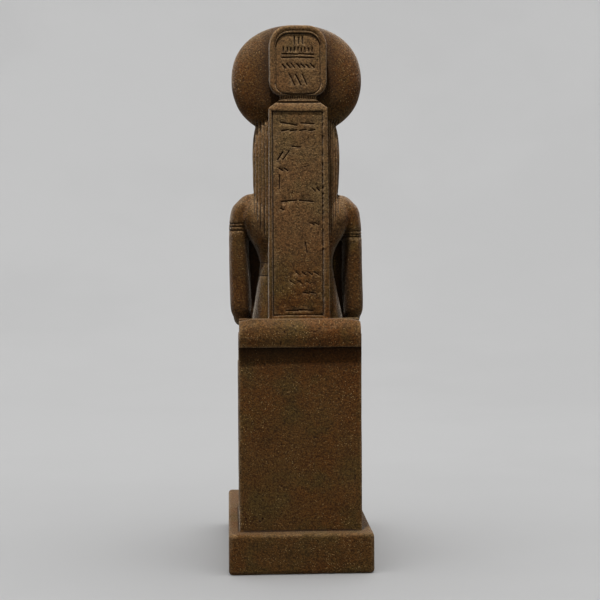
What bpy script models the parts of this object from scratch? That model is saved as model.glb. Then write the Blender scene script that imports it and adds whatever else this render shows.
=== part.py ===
"""Seated lion-headed goddess with a sun disc, a back pillar and a block throne, cut from one sandstone block.

Metres, +Z up. The goddess faces -Y, and the origin is the middle of the plinth's underside.
"""

import math

import bmesh
import bpy
from mathutils import Vector

# Plinth
PLINTH_WIDTH = 0.158
PLINTH_DEPTH = 0.284
PLINTH_HEIGHT = 0.0445
PLINTH_EDGE = 0.0040

# Block throne. The setback is from the plinth's rear edge to the throne's back.
THRONE_WIDTH = 0.134
THRONE_DEPTH = 0.150
THRONE_SETBACK = 0.015
THRONE_EDGE = 0.0020
SEAT_HEIGHT = 0.1765
PANEL_BORDER = 0.010
PANEL_SUNK = 0.0012
LOW_PANEL_SHARE = 0.42

# Low backrest, whose upper part rolls over the throne's back
BACKREST_HEIGHT = 0.0550
BACKREST_THICKNESS = 0.0215
ROLL_HEIGHT = 0.0305
ROLL_OVERHANG = 0.0065
ROLL_ROUND = 0.0100
ROLL_INSET = 0.0010

# Back pillar, a little narrower at its head, with a sunk field between raised borders
PILLAR_WIDTH = 0.0672
PILLAR_HEAD_WIDTH = 0.0632
PILLAR_HEIGHT = 0.2930
PILLAR_THICKNESS = 0.0268
PILLAR_SETBACK = 0.0087
PILLAR_SHOULDER = 0.0090
FIELD_WIDTH = 0.0550
FIELD_HEAD = 0.0130
FIELD_FOOT = 0.0035
BORDER_RAISED = 0.0014

# The ring panel above the pillar on the back of the disc, on a low tie
RING_WIDTH = 0.0620
RING_HEIGHT = 0.0752
RING_CORNER = 0.0215
RING_FOOT_CORNER = 0.0140
RING_BAND = 0.0065
TIE_WIDTH = 0.0390
TIE_HEIGHT = 0.0045
TIE_DEPTH = 0.0300
TIE_SUNK = 0.0035

# Sun disc, an oval lens standing on the wig. Its outline is a superellipse of this power.
DISC_WIDTH = 0.1445
DISC_HEIGHT = 0.1225
DISC_THICKNESS = 0.0600
DISC_SUNK = 0.0390
DISC_POWER = 2.2

# The figure's own sizes are in units of which its sitting height, seat to crown, has 295.
# The legs are drawn for a throne that reaches 124.5 units forward, and are lengthened for a deeper one.
SITTING_HEIGHT = 0.295
UNIT = SITTING_HEIGHT / 295
DRAWN_REACH = 124.5
KNEE_RISE = 17
DISC_FORWARD = 30
WIG_STRANDS = 84
LAPPET_STRANDS = 14
STRAND_DEPTH = 0.9
CROWN_FADE = 30
RUFF_RAYS = 28
RAY_DEPTH = 2.2

# The free forms are run together at this fineness, and thinned to this many triangles.
BODY_VOXEL = 0.0016
BODY_FACES = 3300
HEAD_VOXEL = 0.0010
HEAD_FACES = 2300

STONE_COLOUR = (0.12, 0.068, 0.030, 1.0)
OVERLAP = 0.0020

# Places that follow from the sizes above
PLINTH_REAR = PLINTH_DEPTH / 2
SEAT_Z = PLINTH_HEIGHT + SEAT_HEIGHT
THRONE_REAR = PLINTH_REAR - THRONE_SETBACK
THRONE_FRONT = THRONE_REAR - THRONE_DEPTH
FIGURE_BACK = THRONE_REAR - BACKREST_THICKNESS
PILLAR_REAR = THRONE_REAR - PILLAR_SETBACK
BACKREST_TOP = SEAT_Z + BACKREST_HEIGHT
PILLAR_TOP = SEAT_Z + PILLAR_HEIGHT
RING_BOTTOM = PILLAR_TOP + TIE_HEIGHT
CROWN_Z = SEAT_Z + SITTING_HEIGHT
DISC_Z = CROWN_Z - DISC_SUNK + DISC_HEIGHT / 2
DISC_Y = FIGURE_BACK - DISC_FORWARD * UNIT
SHIN_LENGTH = SEAT_HEIGHT + KNEE_RISE * UNIT
THRONE_REACH = (FIGURE_BACK - THRONE_FRONT) / UNIT


def at(x, forward, up):
    """A point of the figure: units from its middle, forward of its back and above the seat."""
    return Vector((x * UNIT, FIGURE_BACK - forward * UNIT, SEAT_Z + up * UNIT))


def clear_scene():
    for leftover in list(bpy.data.objects):
        bpy.data.objects.remove(leftover)


def collection_named(name):
    made = bpy.data.collections.new(name)
    bpy.context.scene.collection.children.link(made)
    return made


def object_from(bm, name, collection):
    """A new object holding the bmesh, with its faces turned outwards."""
    bmesh.ops.recalc_face_normals(bm, faces=bm.faces)
    mesh = bpy.data.meshes.new(name)
    bm.to_mesh(mesh)
    bm.free()
    made = bpy.data.objects.new(name, mesh)
    collection.objects.link(made)
    return made


def rounded_box(name, low, high, edge, collection):
    """A block between two corners, with worn edges."""
    low = Vector(low)
    high = Vector(high)
    bm = bmesh.new()
    bmesh.ops.create_cube(bm, size=1)
    for vert in bm.verts:
        vert.co = Vector(low[i] + (vert.co[i] + 0.5) * (high[i] - low[i]) for i in range(3))
    if edge:
        bmesh.ops.bevel(bm, geom=bm.edges, offset=edge, segments=2, profile=0.6, affect="EDGES")
    return object_from(bm, name, collection)


def ring(centre, across, upward, half_across, half_upward, power, points):
    """Points round a superellipse: power 2 is an ellipse, and more is squarer."""
    made = []
    for i in range(points):
        angle = math.tau * i / points
        c, s = math.cos(angle), math.sin(angle)
        a = math.copysign(abs(c) ** (2 / power), c) * half_across
        b = math.copysign(abs(s) ** (2 / power), s) * half_upward
        made.append(centre + across * a + upward * b)
    return made


def loft(name, rings, collection):
    """A closed skin over rings of equal count, with a cap on each end."""
    bm = bmesh.new()
    loops = [[bm.verts.new(point) for point in one] for one in rings]
    count = len(loops[0])
    for lower, upper in zip(loops, loops[1:]):
        for i in range(count):
            j = (i + 1) % count
            bm.faces.new((lower[i], lower[j], upper[j], upper[i]))
    bm.faces.new(loops[0])
    bm.faces.new(loops[-1])
    return object_from(bm, name, collection)


def eased(sections, steps):
    """Sections read from a smooth curve through the given ones, with steps between each two."""
    made = []
    last = len(sections) - 1
    for i in range(last):
        before, start, end, after = (
            sections[max(i - 1, 0)], sections[i], sections[i + 1], sections[min(i + 2, last)]
        )
        for k in range(steps):
            t = k / steps
            made.append(
                tuple(
                    0.5 * (2 * b + (c - a) * t + (2 * a - 5 * b + 4 * c - d) * t**2
                           + (3 * b - a - 3 * c + d) * t**3)
                    for a, b, c, d in zip(before, start, end, after)
                )
            )
    made.append(tuple(sections[last]))
    return made


def upright(name, sections, collection, points=28, steps=3, side=1):
    """A form built of level sections: (up, middle x, middle forward, half width, half depth, power)."""
    rings = [
        ring(at(side * x, forward, up), Vector((UNIT, 0, 0)), Vector((0, UNIT, 0)), wide, deep, power, points)
        for up, x, forward, wide, deep, power in eased(sections, steps)
    ]
    return loft(name, rings, collection)


def lying(name, sections, collection, points=24, steps=3, side=1):
    """A form built of sections across the depth: (forward, middle x, up, half width, half height, power)."""
    rings = [
        ring(at(side * x, forward, up), Vector((UNIT, 0, 0)), Vector((0, 0, UNIT)), wide, high, power, points)
        for forward, x, up, wide, high, power in eased(sections, steps)
    ]
    return loft(name, rings, collection)


def ball(name, middle, radii, collection):
    """An ellipsoid of the figure, in its units."""
    bm = bmesh.new()
    bmesh.ops.create_uvsphere(bm, u_segments=24, v_segments=14, radius=1)
    centre = at(*middle)
    for vert in bm.verts:
        vert.co = centre + Vector(vert.co[i] * radii[i] * UNIT for i in range(3))
    return object_from(bm, name, collection)


def limb(name, points, radii, collection):
    """A round tapering limb through points of the figure, as a curve turned into a closed mesh."""
    curve = bpy.data.curves.new(name, "CURVE")
    curve.dimensions = "3D"
    curve.bevel_depth = UNIT
    curve.bevel_resolution = 4
    curve.use_fill_caps = True
    spline = curve.splines.new("POLY")
    spline.points.add(len(points) - 1)
    for spot, place, radius in zip(spline.points, points, radii):
        spot.co = (*at(*place), 1)
        spot.radius = radius
    carrier = bpy.data.objects.new(name, curve)
    collection.objects.link(carrier)
    bpy.context.view_layer.update()
    mesh = bpy.data.meshes.new_from_object(carrier.evaluated_get(bpy.context.evaluated_depsgraph_get()))
    bm = bmesh.new()
    bm.from_mesh(mesh)
    bmesh.ops.remove_doubles(bm, verts=bm.verts, dist=1e-6)
    bpy.data.objects.remove(carrier)
    return object_from(bm, name, collection)


def torso(hidden):
    """Trunk from the seat to the shoulders, in a close-fitting dress, with its breasts and neck."""
    trunk = [
        (-6, 0, 34, 51, 36, 2.6), (20, 0, 34, 52, 36, 2.6), (48, 0, 33, 51, 34.5, 2.7),
        (80, 0, 31, 45.5, 31, 2.6), (104, 0, 29, 41.5, 29, 2.5), (117, 0, 29, 40.5, 28.5, 2.5),
        (130, 0, 31, 44, 30.5, 2.6), (142, 0, 33, 51, 33, 2.8), (153, 0, 34, 58, 34, 3.0),
        (166, 0, 34, 62, 34, 3.2), (178, 0, 33, 59, 30, 3.0), (187, 0, 32, 53, 23, 2.6),
        (193, 0, 31, 43, 16, 2.3), (196, 0, 31, 34, 12, 2.2),
    ]
    neck = [(162, 0, 38, 31, 19, 2.3), (188, 0, 40, 29, 20, 2.2), (215, 0, 43, 27, 20, 2.2)]
    pieces = [upright("trunk", trunk, hidden), upright("neck", neck, hidden)]
    pieces += [ball("breast", (side * 23, 57, 141), (17, 15.5, 15.5), hidden) for side in (1, -1)]
    return pieces


def arm(hidden, side):
    """Upper arm hanging straight, forearm along the thigh, and a flat hand towards the knee."""
    upper = [
        (190, 44, 32, 9, 9, 2.2), (187, 47.5, 33, 11.5, 13, 2.2), (182, 51.5, 33, 13, 16, 2.3),
        (175, 56, 33, 14.5, 18, 2.4), (163, 60, 34, 13.2, 18, 2.4), (147, 63.2, 35, 11, 17, 2.4),
        (122, 63.4, 36, 11.2, 16.5, 2.4), (92, 63, 38, 11.8, 16, 2.4), (66, 62.9, 39.5, 11.6, 15.5, 2.4),
        (57, 62, 40.5, 10.6, 14, 2.3), (50, 60.5, 42, 7.5, 10, 2.2), (46, 59.5, 43, 3, 5, 2),
    ]
    forearm = [
        (36, 61.5, 55, 8, 8, 2.2), (48, 60.5, 54.5, 10.8, 11, 2.3), (72, 53, 53.5, 10.8, 11.5, 2.3),
        (100, 43, 51.5, 9.6, 9.8, 2.3), (122, 35.5, 48.5, 8.6, 7.6, 2.3),
    ]
    hand = [
        (114, 37.5, 49, 8.4, 7.4, 2.3), (128, 33.5, 47, 10, 6.8, 2.5), (142, 30.5, 45.3, 11, 6, 2.8),
        (156, 28.5, 43.8, 10.6, 5, 2.8), (169, 27, 42, 9.6, 4.2, 2.8), (174, 26.7, 41, 7, 2.8, 2.5),
    ]
    thumb = [(side * 27, 124, 46.5), (side * 20.5, 138, 44.8), (side * 18.5, 152, 43)]
    return [
        upright("upper_arm", upper, hidden, side=side),
        lying("forearm", forearm, hidden, side=side),
        lying("hand", hand, hidden, side=side),
        limb("thumb", thumb, (4.2, 4.0, 2.8), hidden),
    ]


def stone_web(hidden, side):
    """The stone left standing between an arm and the trunk, well in from the back."""
    web = [(46, 50, 44, 10, 7, 4), (100, 47, 44, 11, 6.5, 4), (158, 48, 44, 12, 6.5, 4)]
    return upright("web", web, hidden, side=side)


def legs(hidden):
    """Thighs along the seat, shins against the throne, and the dress drawn over them to the hem."""
    thigh = [
        (10, 27, 16, 26, 24, 2.5), (40, 27, 17, 26, 24.5, 2.5), (80, 27, 17.5, 25, 24, 2.5),
        (120, 26.5, 17.5, 24.3, 23.5, 2.5), (148, 26, 17, 24, 23.5, 2.5), (163, 26, 14, 23.4, 23, 2.5),
        (172, 26, 9, 21.5, 21, 2.4), (178, 26, 2, 18, 16, 2.3), (180.5, 26, -3, 12, 10, 2.2),
    ]
    reach = THRONE_REACH - DRAWN_REACH
    shin = [
        (1.08, 25.8, 156, 22, 19, 2.5), (1.0, 25.8, 157, 23.6, 23.5, 2.5), (0.88, 25.6, 156, 24, 25, 2.5),
        (0.72, 25, 152.5, 23, 26, 2.4), (0.55, 24, 149.5, 20.5, 25.5, 2.4), (0.35, 22.5, 148, 17.5, 23, 2.3),
        (0.18, 21.5, 149, 14, 20, 2.2), (0.08, 21, 150, 13, 19, 2.2), (-0.01, 21, 151, 13.5, 20, 2.2),
    ]
    skirt = [
        (0.105, 0, 141, 36, 28, 3.6), (0.35, 0, 142, 39, 29.5, 3.6), (0.7, 0, 144, 44.5, 31, 3.6),
        (1.0, 0, 145, 46.5, 31.5, 3.6),
    ]
    lap = [(8, 0, 15, 24, 22, 3), (90, 0, 15.5, 24, 22, 3), (160, 0, 13, 24, 20, 3), (170, 0, 8, 22, 15, 3)]

    def standing(sections):
        return [
            ((share * SHIN_LENGTH - SEAT_HEIGHT) / UNIT, x, forward + reach, wide, deep, power)
            for share, x, forward, wide, deep, power in sections
        ]

    pieces = [upright("skirt", standing(skirt), hidden), lying("lap", stretched(lap, reach), hidden)]
    for side in (1, -1):
        pieces.append(lying("thigh", stretched(thigh, reach), hidden, side=side))
        pieces.append(upright("shin", standing(shin), hidden, side=side))
        pieces += foot(hidden, side, reach)
    return pieces


def stretched(sections, reach):
    """Sections along the thigh, lengthened towards the knee by what the throne's depth asks."""
    end = sections[-1][0]
    return [(forward + reach * forward / end, *rest) for forward, *rest in sections]


def foot(hidden, side, reach):
    """A bare foot on the plinth, with five toes."""
    sole = -SEAT_HEIGHT / UNIT
    outline = [
        (126, 20.5, 9, 20), (140, 20.5, 12.5, 25), (158, 20.5, 13, 23), (178, 21, 13.5, 16),
        (198, 21.5, 14.5, 11.5), (212, 22, 14, 9), (217, 22, 11, 7),
    ]
    body = [
        (forward + reach, x, sole + high / 2 - 1, wide, high / 2 + 1, 2.6)
        for forward, x, wide, high in outline
    ]
    pieces = [lying("foot", body, hidden, side=side)]
    for k in range(5):
        x = side * (22 + (k - 2) * 5.6)
        tip = 228 - 1.1 * abs(k - 0.8) ** 1.6 + reach
        radius = 4.0 if k == 0 else 3.1
        joints = [(x, tip - 18, sole + 4.5), (x, tip - 4, sole + 3.4), (x, tip, sole + 2.6)]
        pieces.append(limb("toe", joints, (radius, radius, radius * 0.55), hidden))
    return pieces


def head(hidden):
    """The head: skull and muzzle in one, bridge, whisker pads, chin, cheeks, brows, eyes and cupped ears."""
    core = [
        (40, 0, 246, 34, 32, 2.2), (56, 0, 246, 35.5, 33, 2.2), (66, 0, 244, 34, 31, 2.3),
        (73, 0, 241.5, 30.5, 28, 2.4), (78, 0, 238, 25, 23, 2.5), (83, 0, 234, 20, 17, 2.6),
        (91, 0, 232, 17, 13, 2.8), (98, 0, 231.5, 15, 11.5, 2.8), (102, 0, 232, 11, 8.5, 2.6),
    ]
    bridge = [
        (60, 0, 262, 15, 8, 2.6), (78, 0, 251, 11, 7.5, 2.6), (91, 0, 243.5, 9.2, 6.4, 2.6),
        (99, 0, 239.5, 9.4, 5.4, 2.6), (104, 0, 237.2, 8.4, 4.4, 2.6), (106.2, 0, 236.2, 5.4, 2.8, 2.5),
    ]
    ear = [
        (56.5, 31, 269.5, 3, 3, 2), (58, 31, 270, 8, 9, 2), (61.5, 31, 270.5, 10.5, 11.5, 2),
        (65.2, 31, 270.5, 9.8, 10.8, 2), (64.8, 31, 270.5, 7.4, 8.4, 2), (62, 31, 270.5, 5, 6, 2),
        (61.2, 31, 270.5, 1.5, 2, 2),
    ]
    pieces = [
        lying("skull", core, hidden, points=32),
        lying("bridge", bridge, hidden),
        ball("chin", (0, 88, 219.5), (9.5, 12.5, 6.5), hidden),
        upright("neck", [(206, 0, 42, 26, 18, 2.2), (222, 0, 44, 28, 22, 2.2)], hidden),
    ]
    for side in (1, -1):
        pieces += [
            ball("whisker_pad", (side * 8.8, 92.5, 230.5), (9.4, 12, 8.6), hidden),
            ball("cheek", (side * 21, 66, 233), (14, 10.5, 16), hidden),
            ball("brow", (side * 16.5, 72, 259.5), (12, 6, 3.4), hidden),
            ball("eye", (side * 16.5, 76.5, 250), (8, 5.4, 5), hidden),
            lying("ear", ear, hidden, side=side),
        ]
    return pieces


def ruff(collection):
    """The mane round the face, cut into short rays."""
    sections = [
        (54, 0, 238, 41, 36, 2.3), (61, 0, 237, 44.5, 38.5, 2.3), (66.5, 0, 237, 43, 37, 2.3),
        (70, 0, 238, 36, 31, 2.3),
    ]
    rings = []
    for forward, x, up, wide, high, power in sections:
        edge = ring(
            at(x, forward, up), Vector((UNIT, 0, 0)), Vector((0, 0, UNIT)), wide, high, power, 2 * RUFF_RAYS
        )
        rings.append(grooved(edge, at(x, forward, up), RUFF_RAYS, RAY_DEPTH / wide))
    return loft("ruff", rings, collection)


def cobra(hidden):
    """The rearing cobra on the brow, its hood spread against the disc."""
    body = [
        (258, 0, 68, 4, 5, 2.2), (270, 0, 67, 4.6, 5, 2.2), (279, 0, 65, 7.2, 5, 2.3),
        (289, 0, 63, 8.6, 4.6, 2.4), (298, 0, 62.5, 6.8, 4.6, 2.3), (304, 0, 63.5, 4.6, 4.6, 2.2),
        (308, 0, 65, 3.4, 3.6, 2),
    ]
    return [
        upright("cobra_hood", body, hidden, points=20),
        ball("cobra_head", (0, 68.5, 305.5), (4.4, 6.5, 3.4), hidden),
    ]


def grooved(edge, middle, grooves, share):
    """Points round an edge, drawn in towards its middle once for each groove by a share of the way."""
    count = len(edge)
    return [
        middle + (point - middle) * (1 - share * (0.5 - 0.5 * math.cos(math.tau * i * grooves / count)))
        for i, point in enumerate(edge)
    ]


def fluted(sections, steps, strands):
    """Level rings whose edge runs in and out once for each strand of hair, fading at the crown."""
    made = []
    for up, x, forward, wide, deep, power in eased(sections, steps):
        middle = at(x, forward, up)
        edge = ring(middle, Vector((UNIT, 0, 0)), Vector((0, UNIT, 0)), wide, deep, power, 2 * strands)
        made.append(grooved(edge, middle, strands, min(1.0, wide / CROWN_FADE) * STRAND_DEPTH / wide))
    return made


def wig(collection):
    """The long wig: a mass over the crown and the back, and a lappet down each side of the chest."""
    mass = [
        (139, 0, 12, 35, 14, 2.6), (164, 0, 16, 42, 18, 2.6), (191, 0, 24, 46.5, 26, 2.5),
        (215, 0, 29, 48, 31, 2.4), (240, 0, 31, 48.3, 33, 2.4), (262, 0, 32, 46, 32.5, 2.3),
        (277, 0, 32, 40, 29, 2.2), (287, 0, 32, 30, 23, 2.1), (295, 0, 32, 10, 8, 2),
    ]
    pieces = [loft("wig", fluted(mass, 1, WIG_STRANDS), collection)]
    for side in (1, -1):
        lappet = [
            (152, side * 27, 64, 14, 9, 3.2), (172, side * 28, 65, 15, 9.5, 2.8),
            (190, side * 30.5, 60, 15.5, 11.5, 2.6), (206, side * 33, 54, 14.5, 14, 2.5),
            (226, side * 35, 46, 12, 14, 2.4), (248, side * 32, 38, 8, 9, 2.2),
        ]
        pieces.append(loft("lappet", fluted(lappet, 1, LAPPET_STRANDS), collection))
    return pieces


def sun_disc(collection):
    """The oval sun disc, full in the middle and rounded to its rim."""
    bm = bmesh.new()
    bmesh.ops.create_uvsphere(bm, u_segments=44, v_segments=16, radius=1)
    for vert in bm.verts:
        across, upward, thick = (math.copysign(abs(part) ** (2 / DISC_POWER), part) for part in vert.co)
        vert.co = (
            across * DISC_WIDTH / 2, DISC_Y - thick * DISC_THICKNESS / 2, DISC_Z + upward * DISC_HEIGHT / 2
        )
    return object_from(bm, "disc", collection)


def plinth(collection):
    low = (-PLINTH_WIDTH / 2, -PLINTH_REAR, 0)
    return rounded_box("plinth", low, (PLINTH_WIDTH / 2, PLINTH_REAR, PLINTH_HEIGHT), PLINTH_EDGE, collection)


def throne(collection):
    """The block seat, its backrest and the roll that hangs over the throne's back."""
    half = THRONE_WIDTH / 2
    block = rounded_box(
        "block", (-half, THRONE_FRONT, PLINTH_HEIGHT - OVERLAP), (half, THRONE_REAR, SEAT_Z), THRONE_EDGE,
        collection,
    )
    rest = rounded_box(
        "backrest", (-half, FIGURE_BACK, SEAT_Z - 2 * THRONE_EDGE - OVERLAP),
        (half, THRONE_REAR, BACKREST_TOP - ROLL_HEIGHT / 2), 0, collection,
    )
    return [block, rest, roll(collection)]


def roll(collection):
    """The backrest's overhanging top, round behind, as an outline drawn out across the throne."""
    half = THRONE_WIDTH / 2 - ROLL_INSET
    rear = THRONE_REAR + ROLL_OVERHANG
    low = BACKREST_TOP - ROLL_HEIGHT
    arc = [
        (rear - ROLL_ROUND + ROLL_ROUND * math.sin(a), BACKREST_TOP - ROLL_ROUND + ROLL_ROUND * math.cos(a))
        for a in (math.pi / 2 * k / 6 for k in range(7))
    ]
    outline = [(FIGURE_BACK, low), (FIGURE_BACK, BACKREST_TOP), *arc, (rear, low)]
    bm = bmesh.new()
    face = bm.faces.new([bm.verts.new((-half, y, z)) for y, z in outline])
    drawn = bmesh.ops.extrude_face_region(bm, geom=[face])
    corners = [part for part in drawn["geom"] if isinstance(part, bmesh.types.BMVert)]
    bmesh.ops.translate(bm, vec=(2 * half, 0, 0), verts=corners)
    return object_from(bm, "roll", collection)


def side_panels(collection):
    """Cutters that sink three framed panels into each side of the throne, the low rear one square."""
    half = THRONE_WIDTH / 2
    low_z = PLINTH_HEIGHT + PANEL_BORDER
    high_z = SEAT_Z - PANEL_BORDER
    small = (high_z - low_z) * LOW_PANEL_SHARE
    cutters = []
    for side in (1, -1):
        inner = side * (half - PANEL_SUNK)
        outer = side * (half + 2 * PANEL_SUNK)
        left, right = min(inner, outer), max(inner, outer)
        rear = THRONE_REAR - PANEL_BORDER
        front = THRONE_FRONT + PANEL_BORDER
        upper = (left, front, low_z + small + PANEL_BORDER / 2), (right, rear, high_z)
        lower_front = (left, front, low_z), (right, rear - small - PANEL_BORDER / 2, low_z + small)
        lower_rear = (left, rear - small, low_z), (right, rear, low_z + small)
        panels = (upper, lower_front, lower_rear)
        cutters += [rounded_box("panel", *corners, 0, collection) for corners in panels]
    return cutters


def pillar(collection):
    """The back pillar, drawn in at its shoulders to a tie, and the ring panel above it."""
    half = PILLAR_WIDTH / 2
    head = PILLAR_HEAD_WIDTH / 2
    neck = TIE_WIDTH / 2
    foot_z = BACKREST_TOP - OVERLAP
    shoulder_z = PILLAR_TOP - PILLAR_SHOULDER
    outline = [
        (-half, foot_z), (half, foot_z), (head, shoulder_z), (neck, PILLAR_TOP), (-neck, PILLAR_TOP),
        (-head, shoulder_z),
    ]
    low = (-neck, PILLAR_REAR - TIE_SUNK - TIE_DEPTH, PILLAR_TOP - OVERLAP)
    high = (neck, PILLAR_REAR - TIE_SUNK, RING_BOTTOM + OVERLAP)
    return [
        slab("pillar", outline, PILLAR_REAR, PILLAR_REAR - PILLAR_THICKNESS, collection),
        rounded_box("tie", low, high, 0, collection),
        slab("ring_panel", ring_outline(0, 5), PILLAR_REAR, DISC_Y, collection),
    ]


def slab(name, outline, rear, front, collection):
    """A flat outline in X and Z, drawn out in depth from its rear face."""
    bm = bmesh.new()
    face = bm.faces.new([bm.verts.new((x, rear, z)) for x, z in outline])
    drawn = bmesh.ops.extrude_face_region(bm, geom=[face])
    corners = [part for part in drawn["geom"] if isinstance(part, bmesh.types.BMVert)]
    bmesh.ops.translate(bm, vec=(0, front - rear, 0), verts=corners)
    return object_from(bm, name, collection)


def ring_outline(inset, arc_steps):
    """The ring panel's outline in X and Z, drawn in by an inset. Its lower corners are the tighter ones."""
    points = []
    middle_z = RING_BOTTOM + RING_HEIGHT / 2
    for quarter in range(4):
        sign_x = 1 if quarter in (0, 3) else -1
        sign_z = 1 if quarter < 2 else -1
        corner = RING_CORNER if quarter < 2 else RING_FOOT_CORNER
        for k in range(arc_steps + 1):
            a = math.pi / 2 * (quarter + k / arc_steps)
            x = sign_x * (RING_WIDTH / 2 - corner) + (corner - inset) * math.cos(a)
            z = middle_z + sign_z * (RING_HEIGHT / 2 - corner) + (corner - inset) * math.sin(a)
            points.append((x, z))
    return points


def pillar_fields(collection):
    """Cutters that sink the pillar's field and the ring's inside below their raised borders."""
    behind = PILLAR_REAR + OVERLAP
    floor = PILLAR_REAR - BORDER_RAISED
    field = rounded_box(
        "field", (-FIELD_WIDTH / 2, floor, BACKREST_TOP + FIELD_FOOT),
        (FIELD_WIDTH / 2, behind, PILLAR_TOP - FIELD_HEAD), 0, collection,
    )
    return [field, slab("ring_inside", ring_outline(RING_BAND, 3), behind, floor, collection)]


def joined(name, pieces, collection):
    """Overlapping closed pieces gathered into one object, still separate shells."""
    bm = bmesh.new()
    for piece in pieces:
        bm.from_mesh(piece.data)
        bpy.data.objects.remove(piece)
    return object_from(bm, name, collection)


def applied(obj):
    """The object with its modifiers turned into mesh."""
    bpy.context.view_layer.update()
    mesh = bpy.data.meshes.new_from_object(obj.evaluated_get(bpy.context.evaluated_depsgraph_get()))
    obj.modifiers.clear()
    obj.data = mesh
    return obj


def carved_whole(name, pieces, voxel, faces, collection):
    """Forms run together as one skin, eased where they meet, with fewer faces where it is flat."""
    whole = joined(name, pieces, collection)
    remesh = whole.modifiers.new("one_skin", "REMESH")
    remesh.mode = "VOXEL"
    remesh.voxel_size = voxel
    smooth = whole.modifiers.new("eased", "SMOOTH")
    smooth.factor = 0.5
    smooth.iterations = 4
    applied(whole)
    thin = whole.modifiers.new("fewer_faces", "DECIMATE")
    thin.ratio = faces / (2 * len(whole.data.polygons))
    return applied(whole)


def combine(target, others, operation, solver="EXACT"):
    """Adds a Boolean for each of the others. MANIFOLD suits the free forms, where EXACT leaves slits."""
    for other in others:
        cut = target.modifiers.new(other.name, "BOOLEAN")
        cut.operation = operation
        cut.solver = solver
        cut.object = other
        other.hide_render = True
        other.display_type = "WIRE"


def sandstone():
    material = bpy.data.materials.new("sandstone")
    material.use_nodes = True
    shader = material.node_tree.nodes["Principled BSDF"]
    shader.inputs["Base Color"].default_value = STONE_COLOUR
    shader.inputs["Roughness"].default_value = 0.85
    shader.inputs["Metallic"].default_value = 0.0
    return material


def build():
    clear_scene()
    shown = collection_named("seated_statue")
    hidden = collection_named("forms")
    figure = torso(hidden) + legs(hidden)
    for side in (1, -1):
        figure += arm(hidden, side)
        figure.append(stone_web(hidden, side))
    body = carved_whole("figure", figure, BODY_VOXEL, BODY_FACES, hidden)
    face = carved_whole("head", head(hidden) + cobra(hidden), HEAD_VOXEL, HEAD_FACES, hidden)
    statue = plinth(shown)
    statue.name = "seated_lioness_statue"
    combine(statue, throne(hidden), "UNION")
    combine(statue, side_panels(hidden), "DIFFERENCE")
    free_forms = [body, *wig(hidden), ruff(hidden), face, sun_disc(hidden), *pillar(hidden)]
    combine(statue, free_forms, "UNION", "MANIFOLD")
    combine(statue, pillar_fields(hidden), "DIFFERENCE", "MANIFOLD")
    statue.data.materials.append(sandstone())


build()
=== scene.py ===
"""The finish of a seated lion-headed goddess in brown sandstone, seen from behind in a pale studio.

Metres, +Z up. The goddess faces -Y. The stone is cut again from the solid's own sizes, and then gets
the fine carving, the wear and the colour that the solid leaves out.
"""

import math

import bmesh
import bpy
import numpy as np
from mathutils import Matrix, Vector


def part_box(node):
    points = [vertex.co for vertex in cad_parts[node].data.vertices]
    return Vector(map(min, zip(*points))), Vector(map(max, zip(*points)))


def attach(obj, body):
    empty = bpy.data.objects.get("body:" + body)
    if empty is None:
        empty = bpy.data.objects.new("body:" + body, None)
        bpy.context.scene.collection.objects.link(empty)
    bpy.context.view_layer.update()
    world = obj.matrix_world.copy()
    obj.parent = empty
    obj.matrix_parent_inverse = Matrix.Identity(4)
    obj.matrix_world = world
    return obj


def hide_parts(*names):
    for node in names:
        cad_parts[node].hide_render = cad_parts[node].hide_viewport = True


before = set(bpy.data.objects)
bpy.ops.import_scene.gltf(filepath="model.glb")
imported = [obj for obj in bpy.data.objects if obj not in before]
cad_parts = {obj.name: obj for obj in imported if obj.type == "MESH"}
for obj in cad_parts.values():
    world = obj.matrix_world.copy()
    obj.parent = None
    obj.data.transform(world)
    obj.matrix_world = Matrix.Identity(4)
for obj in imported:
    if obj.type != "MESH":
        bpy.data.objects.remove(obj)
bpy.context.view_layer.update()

NODE = "seated_lioness_statue"
node_low, node_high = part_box(NODE)

# Plinth
PLINTH_WIDTH = node_high[0] - node_low[0]
PLINTH_DEPTH = node_high[1] - node_low[1]
PLINTH_HEIGHT = 0.0445
PLINTH_EDGE = 0.0040

# Block throne. The setback is from the plinth's rear edge to the throne's back.
THRONE_WIDTH = 0.134
THRONE_DEPTH = 0.150
THRONE_SETBACK = 0.015
THRONE_EDGE = 0.0020
SEAT_HEIGHT = 0.1765
PANEL_BORDER = 0.010
PANEL_SUNK = 0.0012
LOW_PANEL_SHARE = 0.42

# Low backrest, whose upper part rolls over the throne's back. The roll is worn down at its ends, outside
# the flat, and worn round behind.
BACKREST_HEIGHT = 0.0550
BACKREST_THICKNESS = 0.0215
ROLL_HEIGHT = 0.0305
ROLL_OVERHANG = 0.0065
ROLL_ROUND = 0.0100
ROLL_INSET = 0.0010
ROLL_FLAT = 0.084
ROLL_WORN = 0.0030
ROLL_ROUNDED = 0.0030

# Back pillar, a little narrower at its head, with a sunk field between raised borders
PILLAR_WIDTH = 0.0672
PILLAR_HEAD_WIDTH = 0.0632
PILLAR_HEIGHT = 0.2930
PILLAR_THICKNESS = 0.0268
PILLAR_SETBACK = 0.0087
PILLAR_SHOULDER = 0.0090
FIELD_WIDTH = 0.0550
FIELD_HEAD = 0.0130
FIELD_FOOT = 0.0035
FIELD_ASIDE = 0.0011
BORDER_RAISED = 0.0014

# The ring panel above the pillar on the back of the disc, on a low tie
RING_WIDTH = 0.0620
RING_HEIGHT = 0.0752
RING_CORNER = 0.0215
RING_FOOT_CORNER = 0.0140
RING_BAND = 0.0065
RING_BROW = 0.0085
RING_FOOT = 0.0010
TIE_WIDTH = 0.0390
TIE_HEIGHT = 0.0045
TIE_DEPTH = 0.0300
TIE_SUNK = 0.0035

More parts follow.
